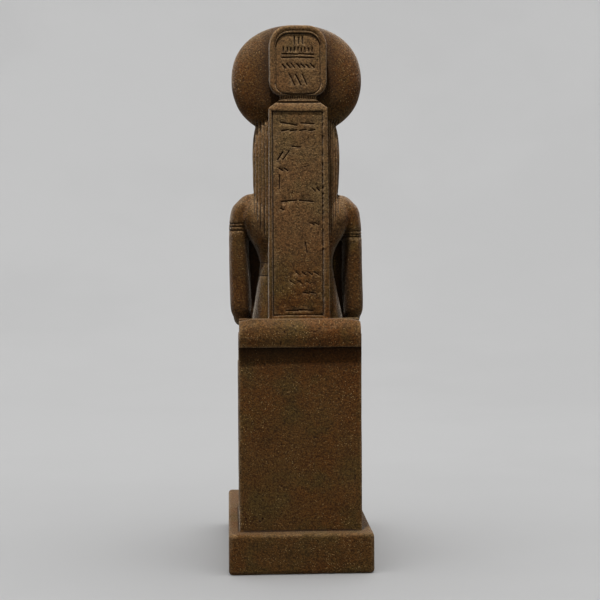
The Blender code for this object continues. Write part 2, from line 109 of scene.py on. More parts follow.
# Sun disc, an oval lens standing on the wig. Its outline is a superellipse of this power.
DISC_WIDTH = 0.1445
DISC_HEIGHT = 0.1225
DISC_THICKNESS = 0.0600
DISC_SUNK = 0.0390
DISC_POWER = 2.2

# The figure's own sizes are in units of which its sitting height, seat to crown, has 295.
# The legs are drawn for a throne that reaches 124.5 units forward, and are lengthened for a deeper one.
SITTING_HEIGHT = 0.295
UNIT = SITTING_HEIGHT / 295
DRAWN_REACH = 124.5
KNEE_RISE = 17
DISC_FORWARD = 30
EYE_ASIDE = 16.5
EYE_UP = 250

# Hair: strands right round the wig and half round a lappet, and straight ones beside the pillar
WIG_STRANDS = 74
LAPPET_STRANDS = 14
STRAND_DEPTH = 1.45
BACK_STRAND_PITCH = 3.3
BACK_STRAND_FIRST = 33.5
BACK_STRAND_DEPTH = 1.9
HAIR_FOOT = 143
HAIR_HEAD = 276
CROWN_FADE = 22
RUFF_RAYS = 28
RAY_DEPTH = 2.2

# Lines cut round the figure, for each side of it: the armlet, and the dress's upper band
ARMLETS = ((1, (158.7, 155.4, 151.2)), (-1, (150.2, 146.6, 143.8)))
DRESS_BANDS = ((1, (115.5, 101.5)), (-1, (110.5, 99)))

# Fineness of the skin over the figure, the head and the whole, and the triangles that are kept
BODY_VOXEL = 0.0013
HEAD_VOXEL = 0.0008
STONE_VOXEL = 0.0008
STONE_TRIANGLES = 194000

# Steps between two sections of a form, points round one, and steps in the quarter turn of an outline
SECTION_STEPS = 6
SECTION_POINTS = 64
ARC_STEPS = 12

# How far the blocks reach into each other, and a millimetre, in metres
OVERLAP = 0.0020
MM = 0.001

# Places that follow from the sizes above
PLINTH_REAR = PLINTH_DEPTH / 2
SEAT_Z = PLINTH_HEIGHT + SEAT_HEIGHT
THRONE_REAR = PLINTH_REAR - THRONE_SETBACK
THRONE_FRONT = THRONE_REAR - THRONE_DEPTH
FIGURE_BACK = THRONE_REAR - BACKREST_THICKNESS
PILLAR_REAR = THRONE_REAR - PILLAR_SETBACK
BACKREST_TOP = SEAT_Z + BACKREST_HEIGHT
ROLL_FOOT = BACKREST_TOP - ROLL_HEIGHT
PILLAR_TOP = SEAT_Z + PILLAR_HEIGHT
RING_BOTTOM = PILLAR_TOP + TIE_HEIGHT
RING_MIDDLE = RING_BOTTOM + RING_HEIGHT / 2
CROWN_Z = SEAT_Z + SITTING_HEIGHT
DISC_Z = CROWN_Z - DISC_SUNK + DISC_HEIGHT / 2
DISC_Y = FIGURE_BACK - DISC_FORWARD * UNIT
SHIN_LENGTH = SEAT_HEIGHT + KNEE_RISE * UNIT
THRONE_REACH = (FIGURE_BACK - THRONE_FRONT) / UNIT

# One figure unit along each axis
ACROSS = Vector((UNIT, 0, 0))
BACKWARD = Vector((0, UNIT, 0))
UPWARD = Vector((0, 0, UNIT))

# Level sections of the trunk, the arm and the wig, which the carving is laid out on as well
TRUNK = [
    (-6, 0, 34, 51, 36, 2.6), (20, 0, 34, 52, 36, 2.6), (48, 0, 33, 51, 34.5, 2.7),
    (80, 0, 31, 45.5, 31, 2.6), (104, 0, 29, 41.5, 29, 2.5), (117, 0, 29, 40.5, 28.5, 2.5),
    (130, 0, 31, 44, 30.5, 2.6), (142, 0, 33, 51, 33, 2.8), (153, 0, 34, 58, 34, 3.0),
    (166, 0, 34, 62, 34, 3.2), (178, 0, 33, 59, 30, 3.0), (187, 0, 32, 53, 23, 2.6),
    (193, 0, 31, 43, 16, 2.3), (196, 0, 31, 34, 12, 2.2),
]
UPPER_ARM = [
    (46, 59.5, 43, 3, 5, 2), (50, 60.5, 42, 7.5, 10, 2.2), (57, 62, 40.5, 10.6, 14, 2.3),
    (66, 62.9, 39.5, 11.6, 15.5, 2.4), (92, 63, 38, 11.8, 16, 2.4), (122, 63.4, 36, 11.2, 16.5, 2.4),
    (147, 63.2, 35, 11, 17, 2.4), (163, 60, 34, 13.2, 18, 2.4), (175, 56, 33, 14.5, 18, 2.4),
    (182, 51.5, 33, 13, 16, 2.3), (187, 47.5, 33, 11.5, 13, 2.2), (190, 44, 32, 9, 9, 2.2),
]
WIG_MASS = [
    (139, 0, 12, 35, 14, 2.6), (164, 0, 16, 42, 18, 2.6), (191, 0, 24, 46.5, 26, 2.5),
    (215, 0, 29, 48, 31, 2.4), (240, 0, 31, 48.3, 33, 2.4), (262, 0, 32, 46, 32.5, 2.3),
    (277, 0, 32, 40, 29, 2.2), (287, 0, 32, 30, 23, 2.1), (295, 0, 32, 10, 8, 2),
]
LAPPET = [
    (152, 27, 64, 14, 9, 3.2), (172, 28, 65, 15, 9.5, 2.8), (190, 30.5, 60, 15.5, 11.5, 2.6),
    (206, 33, 54, 14.5, 14, 2.5), (226, 35, 46, 12, 14, 2.4), (248, 32, 38, 8, 9, 2.2),
]

# How the figure's outer parts lean: height over the floor, millimetres to its left, and millimetres
# that its left side is raised
LEAN = [
    (0.270, 0, 0), (0.296, 0.7, 0), (0.340, 1.7, 0), (0.378, 2.1, 0.8), (0.408, 1.5, 2.0),
    (0.440, 0.9, 0), (0.490, 0.9, 0), (0.515, 0, 0),
]

# The back pillar's slanting head: millimetres down from its top, and how deep it lies there
PILLAR_HEAD = [
    (0, 2.6), (1.8, 2.2), (2.6, 3.5), (3.6, 3.5), (4.6, 2.0), (7.0, 0.9), (10.4, 0.1), (11.2, 0),
]

# Rows of short straight strokes, in which no sense is left: height over the backrest or drop from the
# ring's top, middle x, count, pitch, length, lean from upright in degrees, depth in millimetres
PILLAR_ROWS = [
    (0.2118, 0.0005, 2, 0.0198, 0.0165, 84, 1.2), (0.2045, 0.0000, 4, 0.0098, 0.0070, 97, 1.1),
    (0.1868, 0.0025, 1, 0.0100, 0.0085, 90, 1.4), (0.1772, 0.0170, 2, 0.0062, 0.0105, -32, 1.2),
    (0.1622, 0.0165, 2, 0.0058, 0.0055, 62, 1.4), (0.1490, 0.0208, 1, 0.0100, 0.0170, 2, 1.1),
    (0.1403, -0.0185, 2, 0.0045, 0.0045, 40, 0.9), (0.1281, 0.0010, 2, 0.0190, 0.0172, 90, 1.3),
    (0.1190, 0.0185, 1, 0.0060, 0.0035, 55, 1.1), (0.1030, -0.0165, 2, 0.0056, 0.0055, 66, 0.7),
    (0.0774, -0.0079, 1, 0.0060, 0.0125, 4, 0.9), (0.0493, -0.0082, 4, 0.0068, 0.0048, 56, 0.75),
    (0.0398, -0.0010, 3, 0.0082, 0.0060, 62, 0.5), (0.0280, -0.0110, 2, 0.0075, 0.0060, 84, 0.8),
    (0.0090, 0.0002, 2, 0.0158, 0.0142, 90, 1.4),
]
RING_ROWS = [
    (0.0165, -0.0008, 3, 0.0044, 0.0078, 0, 1.2), (0.0264, 0.0000, 9, 0.0039, 0.0042, 0, 1.1),
    (0.0313, 0.0000, 2, 0.0176, 0.0162, 90, 1.3), (0.0352, 0.0002, 2, 0.0176, 0.0160, 90, 1.1),
    (0.0440, 0.0000, 7, 0.0052, 0.0056, 46, 1.1), (0.0588, -0.0004, 3, 0.0068, 0.0128, 24, 1.2),
]


def at(x, forward, up):
    """A point of the figure: units from its middle, forward of its back and above the seat."""
    return Vector((x * UNIT, FIGURE_BACK - forward * UNIT, SEAT_Z + up * UNIT))


def object_from(bm, name):
    """A new object holding the bmesh, with its faces turned outwards."""
    bmesh.ops.recalc_face_normals(bm, faces=bm.faces)
    mesh = bpy.data.meshes.new(name)
    bm.to_mesh(mesh)
    bm.free()
    made = bpy.data.objects.new(name, mesh)
    bpy.context.scene.collection.objects.link(made)
    return made


def rounded_box(name, low, high, edge):
    """A block between two corners, with worn edges."""
    low = Vector(low)
    high = Vector(high)
    bm = bmesh.new()
    bmesh.ops.create_cube(bm, size=1)
    for vert in bm.verts:
        vert.co = Vector(low[i] + (vert.co[i] + 0.5) * (high[i] - low[i]) for i in range(3))
    if edge:
        bmesh.ops.bevel(bm, geom=bm.edges, offset=edge, segments=4, profile=0.5, affect="EDGES")
    return object_from(bm, name)


def ring(centre, across, upward, half_across, half_upward, power, points):
    """Points round a superellipse: power 2 is an ellipse, and more is squarer."""
    made = []
    for i in range(points):
        angle = math.tau * i / points
        c, s = math.cos(angle), math.sin(angle)
        a = math.copysign(abs(c) ** (2 / power), c) * half_across
        b = math.copysign(abs(s) ** (2 / power), s) * half_upward
        made.append(centre + across * a + upward * b)
    return made


def loft(name, rings):
    """A closed skin over rings of equal count, with a cap on each end."""
    bm = bmesh.new()
    loops = [[bm.verts.new(point) for point in one] for one in rings]
    count = len(loops[0])
    for lower, upper in zip(loops, loops[1:]):
        for i in range(count):
            j = (i + 1) % count
            bm.faces.new((lower[i], lower[j], upper[j], upper[i]))
    bm.faces.new(loops[0])
    bm.faces.new(loops[-1])
    return object_from(bm, name)


def eased(sections, steps):
    """Sections read from a smooth curve through the given ones, with steps between each two."""
    made = []
    last = len(sections) - 1
    for i in range(last):
        before, start, end, after = (
            sections[max(i - 1, 0)], sections[i], sections[i + 1], sections[min(i + 2, last)]
        )
        for k in range(steps):
            t = k / steps
            made.append(
                tuple(
                    0.5 * (2 * b + (c - a) * t + (2 * a - 5 * b + 4 * c - d) * t**2
                           + (3 * b - a - 3 * c + d) * t**3)
                    for a, b, c, d in zip(before, start, end, after)
                )
            )
    made.append(tuple(sections[last]))
    return made


def upright(name, sections, points=SECTION_POINTS, side=1):
    """A form built of level sections: (up, middle x, middle forward, half width, half depth, power)."""
    rings = [
        ring(at(side * x, forward, up), ACROSS, BACKWARD, wide, deep, power, points)
        for up, x, forward, wide, deep, power in eased(sections, SECTION_STEPS)
    ]
    return loft(name, rings)


def lying(name, sections, side=1):
    """A form built of sections across the depth: (forward, middle x, up, half width, half height, power)."""
    rings = [
        ring(at(side * x, forward, up), ACROSS, UPWARD, wide, high, power, SECTION_POINTS)
        for forward, x, up, wide, high, power in eased(sections, SECTION_STEPS)
    ]
    return loft(name, rings)


def ball(name, middle, radii):
    """An ellipsoid of the figure, in its units."""
    bm = bmesh.new()
    bmesh.ops.create_uvsphere(bm, u_segments=40, v_segments=24, radius=1)
    centre = at(*middle)
    for vert in bm.verts:
        vert.co = centre + Vector(vert.co[i] * radii[i] * UNIT for i in range(3))
    return object_from(bm, name)


def finished_mesh(obj):
    """The mesh that an object makes, with its modifiers or its curve's thickness."""
    bpy.context.view_layer.update()
    return bpy.data.meshes.new_from_object(obj.evaluated_get(bpy.context.evaluated_depsgraph_get()))


def limb(name, points, radii):
    """A round tapering limb through points of the figure, as a curve turned into a closed mesh."""
    curve = bpy.data.curves.new(name, "CURVE")
    curve.dimensions = "3D"
    curve.bevel_depth = UNIT
    curve.bevel_resolution = 8
    curve.use_fill_caps = True
    spline = curve.splines.new("POLY")
    spline.points.add(len(points) - 1)
    for spot, place, radius in zip(spline.points, points, radii):
        spot.co = (*at(*place), 1)
        spot.radius = radius
    carrier = bpy.data.objects.new(name, curve)
    bpy.context.scene.collection.objects.link(carrier)
    bm = bmesh.new()
    bm.from_mesh(finished_mesh(carrier))
    bmesh.ops.remove_doubles(bm, verts=bm.verts, dist=1e-6)
    bpy.data.objects.remove(carrier)
    return object_from(bm, name)


def torso():
    """Trunk from the seat to the shoulders, in a close-fitting dress, with its breasts and neck."""
    neck = [(162, 0, 38, 31, 19, 2.3), (188, 0, 40, 29, 20, 2.2), (215, 0, 43, 27, 20, 2.2)]
    pieces = [upright("trunk", TRUNK), upright("neck", neck)]
    pieces += [ball("breast", (side * 23, 57, 141), (17, 15.5, 15.5)) for side in (1, -1)]
    return pieces


def arm(side):
    """Upper arm hanging straight, forearm along the thigh, a flat hand, and the stone left behind."""
    forearm = [
        (36, 61.5, 55, 8, 8, 2.2), (48, 60.5, 54.5, 10.8, 11, 2.3), (72, 53, 53.5, 10.8, 11.5, 2.3),
        (100, 43, 51.5, 9.6, 9.8, 2.3), (122, 35.5, 48.5, 8.6, 7.6, 2.3),
    ]
    hand = [
        (114, 37.5, 49, 8.4, 7.4, 2.3), (128, 33.5, 47, 10, 6.8, 2.5), (142, 30.5, 45.3, 11, 6, 2.8),
        (156, 28.5, 43.8, 10.6, 5, 2.8), (169, 27, 42, 9.6, 4.2, 2.8), (174, 26.7, 41, 7, 2.8, 2.5),
    ]
    thumb = [(side * 27, 124, 46.5), (side * 20.5, 138, 44.8), (side * 18.5, 152, 43)]
    web = [(46, 50, 44, 10, 7, 4), (100, 47, 44, 11, 6.5, 4), (158, 48, 44, 12, 6.5, 4)]
    return [
        upright("upper_arm", UPPER_ARM, side=side),
        lying("forearm", forearm, side=side),
        lying("hand", hand, side=side),
        limb("thumb", thumb, (4.2, 4.0, 2.8)),
        upright("web", web, side=side),
    ]


def legs():
    """Thighs along the seat, shins against the throne, and the dress drawn over them to the hem."""
    thigh = [
        (10, 27, 16, 26, 24, 2.5), (40, 27, 17, 26, 24.5, 2.5), (80, 27, 17.5, 25, 24, 2.5),
        (120, 26.5, 17.5, 24.3, 23.5, 2.5), (148, 26, 17, 24, 23.5, 2.5), (163, 26, 14, 23.4, 23, 2.5),
        (172, 26, 9, 21.5, 21, 2.4), (178, 26, 2, 18, 16, 2.3), (180.5, 26, -3, 12, 10, 2.2),
    ]
    reach = THRONE_REACH - DRAWN_REACH
    shin = [
        (1.08, 25.8, 156, 22, 19, 2.5), (1.0, 25.8, 157, 23.6, 23.5, 2.5), (0.88, 25.6, 156, 24, 25, 2.5),
        (0.72, 25, 152.5, 23, 26, 2.4), (0.55, 24, 149.5, 20.5, 25.5, 2.4), (0.35, 22.5, 148, 17.5, 23, 2.3),
        (0.18, 21.5, 149, 14, 20, 2.2), (0.08, 21, 150, 13, 19, 2.2), (-0.01, 21, 151, 13.5, 20, 2.2),
    ]
    skirt = [
        (0.105, 0, 141, 36, 28, 3.6), (0.35, 0, 142, 39, 29.5, 3.6), (0.7, 0, 144, 44.5, 31, 3.6),
        (1.0, 0, 145, 46.5, 31.5, 3.6),
    ]
    lap = [(8, 0, 15, 24, 22, 3), (90, 0, 15.5, 24, 22, 3), (160, 0, 13, 24, 20, 3), (170, 0, 8, 22, 15, 3)]

    def standing(sections):
        return [
            ((share * SHIN_LENGTH - SEAT_HEIGHT) / UNIT, x, forward + reach, wide, deep, power)
            for share, x, forward, wide, deep, power in sections
        ]

    pieces = [upright("skirt", standing(skirt)), lying("lap", stretched(lap, reach))]
    for side in (1, -1):
        pieces.append(lying("thigh", stretched(thigh, reach), side=side))
        pieces.append(upright("shin", standing(shin), side=side))
        pieces += foot(side, reach)
    return pieces


def stretched(sections, reach):
    """Sections along the thigh, lengthened towards the knee by what the throne's depth asks."""
    end = sections[-1][0]
    return [(forward + reach * forward / end, *rest) for forward, *rest in sections]


def foot(side, reach):
    """A bare foot on the plinth, with five toes."""
    sole = -SEAT_HEIGHT / UNIT
    outline = [
        (126, 20.5, 9, 20), (140, 20.5, 12.5, 25), (158, 20.5, 13, 23), (178, 21, 13.5, 16),
        (198, 21.5, 14.5, 11.5), (212, 22, 14, 9), (217, 22, 11, 7),
    ]
    body = [
        (forward + reach, x, sole + high / 2 - 1, wide, high / 2 + 1, 2.6)
        for forward, x, wide, high in outline
    ]
    pieces = [lying("foot", body, side=side)]
    for k in range(5):
        x = side * (22 + (k - 2) * 5.6)
        tip = 228 - 1.1 * abs(k - 0.8) ** 1.6 + reach
        radius = 4.0 if k == 0 else 3.1
        joints = [(x, tip - 18, sole + 4.5), (x, tip - 4, sole + 3.4), (x, tip, sole + 2.6)]
        pieces.append(limb("toe", joints, (radius, radius, radius * 0.55)))
    return pieces


def head():
    """The head: skull and muzzle in one, bridge, whisker pads, chin, cheeks, brows, eyes and cupped ears."""
    core = [
        (40, 0, 246, 34, 32, 2.2), (56, 0, 246, 35.5, 33, 2.2), (66, 0, 244, 34, 31, 2.3),
        (73, 0, 241.5, 30.5, 28, 2.4), (78, 0, 238, 25, 23, 2.5), (83, 0, 234, 20, 17, 2.6),
        (91, 0, 232, 17, 13, 2.8), (98, 0, 231.5, 15, 11.5, 2.8), (102, 0, 232, 11, 8.5, 2.6),
    ]
    bridge = [
        (60, 0, 262, 15, 8, 2.6), (78, 0, 251, 11, 7.5, 2.6), (91, 0, 243.5, 9.2, 6.4, 2.6),
        (99, 0, 239.5, 9.4, 5.4, 2.6), (104, 0, 237.2, 8.4, 4.4, 2.6), (106.2, 0, 236.2, 5.4, 2.8, 2.5),
    ]
    ear = [
        (56.5, 31, 269.5, 3, 3, 2), (58, 31, 270, 8, 9, 2), (61.5, 31, 270.5, 10.5, 11.5, 2),
        (65.2, 31, 270.5, 9.8, 10.8, 2), (64.8, 31, 270.5, 7.4, 8.4, 2), (62, 31, 270.5, 5, 6, 2),
        (61.2, 31, 270.5, 1.5, 2, 2),
    ]
    pieces = [
        lying("skull", core),
        lying("bridge", bridge),
        ball("chin", (0, 88, 219.5), (9.5, 12.5, 6.5)),
        upright("throat", [(206, 0, 42, 26, 18, 2.2), (222, 0, 44, 28, 22, 2.2)]),
    ]
    for side in (1, -1):
        pieces += [
            ball("whisker_pad", (side * 8.8, 92.5, 230.5), (9.4, 12, 8.6)),
            ball("cheek", (side * 21, 66, 233), (14, 10.5, 16)),
            ball("brow", (side * EYE_ASIDE, 72, EYE_UP + 9.5), (12, 6, 3.4)),
            ball("eye", (side * EYE_ASIDE, 76.5, EYE_UP), (8, 5.4, 5)),
            lying("ear", ear, side=side),
        ]
    return pieces


def cobra():
    """The rearing cobra on the brow, its hood spread against the disc."""
    body = [
        (258, 0, 68, 4, 5, 2.2), (270, 0, 67, 4.6, 5, 2.2), (279, 0, 65, 7.2, 5, 2.3),
        (289, 0, 63, 8.6, 4.6, 2.4), (298, 0, 62.5, 6.8, 4.6, 2.3), (304, 0, 63.5, 4.6, 4.6, 2.2),
        (308, 0, 65, 3.4, 3.6, 2),
    ]
    return [upright("cobra_hood", body), ball("cobra_head", (0, 68.5, 305.5), (4.4, 6.5, 3.4))]


def ruff():
    """The mane round the face, cut into short rays."""
    sections = [
        (54, 0, 238, 41, 36, 2.3), (61, 0, 237, 44.5, 38.5, 2.3), (66.5, 0, 237, 43, 37, 2.3),
        (70, 0, 238, 36, 31, 2.3),
    ]
    rings = []
    points = 12 * RUFF_RAYS
    for forward, x, up, wide, high, power in eased(sections, steps=4):
        middle = at(x, forward, up)
        edge = ring(middle, ACROSS, UPWARD, wide, high, power, points)
        waves = [0.5 - 0.5 * math.cos(math.tau * i * RUFF_RAYS / points) for i in range(points)]
        rings.append([
            middle + (point - middle) * (1 - RAY_DEPTH / wide * wave) for point, wave in zip(edge, waves)
        ])
    return loft("ruff", rings)


def wig():
    """The long wig, plain for now: a mass over the crown and the back, and a lappet down each side."""
    pieces = [upright("wig", WIG_MASS, points=200)]
    return pieces + [upright("lappet", LAPPET, side=side) for side in (1, -1)]


def sun_disc():
    """The oval sun disc, full in the middle and rounded to its rim."""
    bm = bmesh.new()
    bmesh.ops.create_uvsphere(bm, u_segments=128, v_segments=64, radius=1)
    for vert in bm.verts:
        across, upward, thick = (math.copysign(abs(part) ** (2 / DISC_POWER), part) for part in vert.co)
        vert.co = (
            across * DISC_WIDTH / 2, DISC_Y - thick * DISC_THICKNESS / 2, DISC_Z + upward * DISC_HEIGHT / 2
        )
    return object_from(bm, "disc")


def throne():
    """The plinth, the block seat, its backrest and the roll that hangs over the throne's back."""
    half = THRONE_WIDTH / 2
    plinth_corner = (PLINTH_WIDTH / 2, PLINTH_REAR, PLINTH_HEIGHT)
    block_foot = PLINTH_HEIGHT - OVERLAP
    rest_foot = SEAT_Z - 2 * THRONE_EDGE - OVERLAP
    rest_top = BACKREST_TOP - ROLL_HEIGHT / 2
    return [
        rounded_box("plinth", (-PLINTH_WIDTH / 2, -PLINTH_REAR, 0), plinth_corner, PLINTH_EDGE),
        rounded_box("block", (-half, THRONE_FRONT, block_foot), (half, THRONE_REAR, SEAT_Z), THRONE_EDGE),
        rounded_box("backrest", (-half, FIGURE_BACK, rest_foot), (half, THRONE_REAR, rest_top), 0),
        roll(),
    ]


def drawn_out(name, corners, offset):
    """A flat outline, given by its corners, drawn out by an offset into a closed solid."""
    bm = bmesh.new()
    face = bm.faces.new([bm.verts.new(corner) for corner in corners])
    drawn = bmesh.ops.extrude_face_region(bm, geom=[face])
    moved = [part for part in drawn["geom"] if isinstance(part, bmesh.types.BMVert)]
    bmesh.ops.translate(bm, vec=offset, verts=moved)
    return object_from(bm, name)


def roll():
    """The backrest's overhanging top, round behind, as an outline drawn out across the throne."""
    half = THRONE_WIDTH / 2 - ROLL_INSET
    rear = THRONE_REAR + ROLL_OVERHANG
    arc = [
        (rear - ROLL_ROUND + ROLL_ROUND * math.sin(a), BACKREST_TOP - ROLL_ROUND + ROLL_ROUND * math.cos(a))
        for a in (math.pi / 2 * k / ARC_STEPS for k in range(ARC_STEPS + 1))
    ]
    outline = [(FIGURE_BACK, ROLL_FOOT), (FIGURE_BACK, BACKREST_TOP), *arc, (rear, ROLL_FOOT)]
    return drawn_out("roll", [(-half, y, z) for y, z in outline], (2 * half, 0, 0))


def slab(name, outline, rear, front):
    """A flat outline in X and Z, drawn out in depth from its rear face."""
    return drawn_out(name, [(x, rear, z) for x, z in outline], (0, front - rear, 0))


def pillar():
    """The back pillar, drawn in at its shoulders to a tie, and the ring panel above it."""
    half = PILLAR_WIDTH / 2
    head_half = PILLAR_HEAD_WIDTH / 2
    neck = TIE_WIDTH / 2
    foot_z = BACKREST_TOP - OVERLAP
    shoulder_z = PILLAR_TOP - PILLAR_SHOULDER
    outline = [
        (-half, foot_z), (half, foot_z), (head_half, shoulder_z), (neck, PILLAR_TOP), (-neck, PILLAR_TOP),
        (-head_half, shoulder_z),
    ]
    low = (-neck, PILLAR_REAR - TIE_SUNK - TIE_DEPTH, PILLAR_TOP - OVERLAP)
    high = (neck, PILLAR_REAR - TIE_SUNK, RING_BOTTOM + OVERLAP)
    return [
        slab("pillar", outline, PILLAR_REAR, PILLAR_REAR - PILLAR_THICKNESS),
        rounded_box("tie", low, high, 0),
        slab("ring_panel", ring_outline(), PILLAR_REAR, DISC_Y),
    ]


def ring_outline():
    """The ring panel's outline in X and Z. Its lower corners are the tighter ones."""
    points = []
    for quarter in range(4):
        sign_x = 1 if quarter in (0, 3) else -1
        sign_z = 1 if quarter < 2 else -1
        corner = RING_CORNER if quarter < 2 else RING_FOOT_CORNER
        for k in range(ARC_STEPS + 1):
            a = math.pi / 2 * (quarter + k / ARC_STEPS)
            x = sign_x * (RING_WIDTH / 2 - corner) + corner * math.cos(a)
            z = RING_MIDDLE + sign_z * (RING_HEIGHT / 2 - corner) + corner * math.sin(a)
            points.append((x, z))
    return points


def one_skin(name, pieces, voxel, rounds):
    """Overlapping closed forms run together as one skin and eased where they meet."""
    bm = bmesh.new()
    for piece in pieces:
        bm.from_mesh(piece.data)
        bpy.data.objects.remove(piece)
    whole = object_from(bm, name)
    remesh = whole.modifiers.new("one_skin", "REMESH")
    remesh.mode = "VOXEL"
    remesh.voxel_size = voxel
    if rounds:
        smooth = whole.modifiers.new("eased", "SMOOTH")
        smooth.factor = 0.5
        smooth.iterations = rounds
    return applied(whole)


def applied(obj):
    """The object with its modifiers turned into mesh."""
    mesh = finished_mesh(obj)
    obj.modifiers.clear()
    obj.data = mesh
    return obj


def read_points(mesh, what="co"):
    """The mesh's points, or their normals, as rows of x, y and z."""
    flat = np.empty(3 * len(mesh.vertices), dtype=np.float32)
    mesh.vertices.foreach_get(what, flat)
    return flat.reshape(-1, 3).astype(np.float64)


def write_points(mesh, place):
    """Moves the mesh's points to these places."""
    mesh.vertices.foreach_set("co", place.astype(np.float32).ravel())
    mesh.update()


def read_edges(mesh):
    """The numbers of the two points that each edge joins."""
    flat = np.empty(2 * len(mesh.edges), dtype=np.int32)
    mesh.edges.foreach_get("vertices", flat)
    return flat.reshape(-1, 2)


def finer_where_carved(stone):
    """Halves the skin's edges where the carving is fine: over the pillar, ring, hair and face."""
    mesh = stone.data
    place = read_points(mesh)
    x, y, z = place.T
    wide = np.abs(x)
    backs = (y > PILLAR_REAR - 4 * MM) & (wide < PILLAR_WIDTH / 2 + MM) & (z > BACKREST_TOP)
    heads = (z > SEAT_Z + 138 * UNIT) & (z < CROWN_Z) & (wide < 49.5 * UNIT)
    edges = read_edges(mesh)
    fine = backs | heads
    chosen = np.nonzero(fine[edges[:, 0]] & fine[edges[:, 1]])[0]
    bm = bmesh.new()
    bm.from_mesh(mesh)
    bm.edges.ensure_lookup_table()
    every = bm.edges
    bmesh.ops.subdivide_edges(bm, edges=[every[i] for i in chosen.tolist()], cuts=1, use_grid_fill=True)
    bm.to_mesh(mesh)
    bm.free()


def neighbour_mean(values, edges):
    """The mean of each point's neighbours, column by column."""
    start, end = edges[:, 0], edges[:, 1]
    count = len(values)
    number = np.maximum(np.bincount(start, minlength=count) + np.bincount(end, minlength=count), 1)
    columns = [
        np.bincount(start, values[end, k], count) + np.bincount(end, values[start, k], count)
        for k in range(values.shape[1])
    ]
    return np.stack(columns, axis=1) / number[:, None]


def worn(place, edges, weight, rounds):
    """Edges rubbed round, where the weight is high."""
    for _ in range(rounds):
        place += (neighbour_mean(place, edges) - place) * (0.5 * weight)[:, None]


def soft(x):
    """0 below 0, 1 above 1, and smooth between."""
    x = np.clip(x, 0.0, 1.0)
    return x * x * (3 - 2 * x)


def cut(distance, width):
    """The share of its full depth that a rounded groove has, by the distance from its middle line."""
    return soft(1.0 - np.abs(distance) / (width / 2))


def chisel(distance, width):
    """The same for a steeper groove with a narrow floor."""
    return soft(1.8 - 1.8 * np.abs(distance) / (width / 2))


def lumps(place, size, seed):
    """Smooth noise from -1 to 1, with lumps about one size across."""
    spot = place / size
    cell = np.floor(spot).astype(np.int64)
    part = spot - cell
    part = part * part * (3 - 2 * part)
    total = np.zeros(len(place))
    for corner in range(8):
        step = np.array([corner & 1, corner >> 1 & 1, corner >> 2 & 1])
        c = cell + step
        mixed = (c[:, 0] * 73856093) ^ (c[:, 1] * 19349663) ^ (c[:, 2] * 83492791) ^ (seed * 2654435)
        mixed = ((mixed ^ (mixed >> 13)) * 1274126177) & 0xFFFFFFFF
        value = ((mixed >> 8) & 0xFFFF) / 32767.5 - 1.0
        weight = np.prod(np.where(step, part, 1 - part), axis=1)
        total += value * weight
    return total


def figure_units(place):
    """Points as units from the figure's middle, forward of its back and above the seat."""
    return place[:, 0] / UNIT, (FIGURE_BACK - place[:, 1]) / UNIT, (place[:, 2] - SEAT_Z) / UNIT


def on_form(x, forward, up, sections, near):
    """Where the points lie round a form of level sections, as an angle, and which are on its skin."""
    table = np.array(eased(sections, SECTION_STEPS))
    columns = (np.interp(up, table[:, 0], table[:, k]) for k in range(1, 6))
    middle_x, middle_forward, wide, deep, power = columns
    a = (x - middle_x) / wide
    b = -(forward - middle_forward) / deep
    radius = (np.abs(a) ** power + np.abs(b) ** power) ** (1 / power)
    angle = np.arctan2(np.sign(b) * np.abs(b) ** (power / 2), np.sign(a) * np.abs(a) ** (power / 2))
    inside = (up > table[0, 0] - near) & (up < table[-1, 0] + near)
    return angle, inside & (np.abs(radius - 1) * np.minimum(wide, deep) < near)


def sink(place, facing, where, depth):
    """Sinks the points of a mask by their depths, along their normals."""
    place[where] -= facing[where] * depth[where][:, None]


def carve_hair(place, facing):
    """Strands down the wig and its lappets, in narrow grooves, shallower where the stone is rubbed.

    Beside the pillar they run straight down, and end on the shoulder blades.
    """
    x, forward, up = figure_units(place)
    angle, skin = on_form(x, forward, up, WIG_MASS, 1.6)
    rubbed = 0.8 + 0.4 * lumps(place, 0.011, 3)
    sway = 0.3 * lumps(place * np.array([1, 1, 0.35]), 0.016, 4)
    fade = soft((292 - up) / CROWN_FADE)
    groove = (0.5 - 0.5 * np.cos(angle * WIG_STRANDS + sway)) ** 1.8
    deeper = 1 + 0.4 * (np.sin(angle * WIG_STRANDS / 3.0 + 1.3) > 0.4)
    wide = np.abs(x)
    _, near_skin = on_form(x, forward, up, WIG_MASS, 6)
    behind = near_skin & (wide > 34.2) & (wide < 47) & (forward > 1) & (up > 139) & (facing[:, 1] > 0.15)
    straight = (0.5 + 0.5 * np.cos((wide - BACK_STRAND_FIRST) / BACK_STRAND_PITCH * math.tau + sway)) ** 1.8
    ends = soft((up - HAIR_FOOT - 2.5 * np.maximum(wide - 37, 0)) / 6) * soft((HAIR_HEAD - up) / 12)
    slanting = np.clip(1 / np.maximum(facing[:, 1], 0.1), 1, 1.7)
    sink(place, facing, behind, BACK_STRAND_DEPTH * UNIT * slanting * rubbed * ends * straight)
    sink(place, facing, skin & ~behind, STRAND_DEPTH * UNIT * rubbed * fade * groove * deeper)
    for side in (1, -1):
        angle, skin = on_form(side * x, forward, up, LAPPET, 1.6)
        depth = STRAND_DEPTH * UNIT * rubbed * (0.5 - 0.5 * np.cos(angle * 2 * LAPPET_STRANDS)) ** 2.0
        ends = cut(up - 157, 1.8) * 0.9 * UNIT
        sink(place, facing, skin & (forward > 50) & (up < 206), np.maximum(depth, ends))


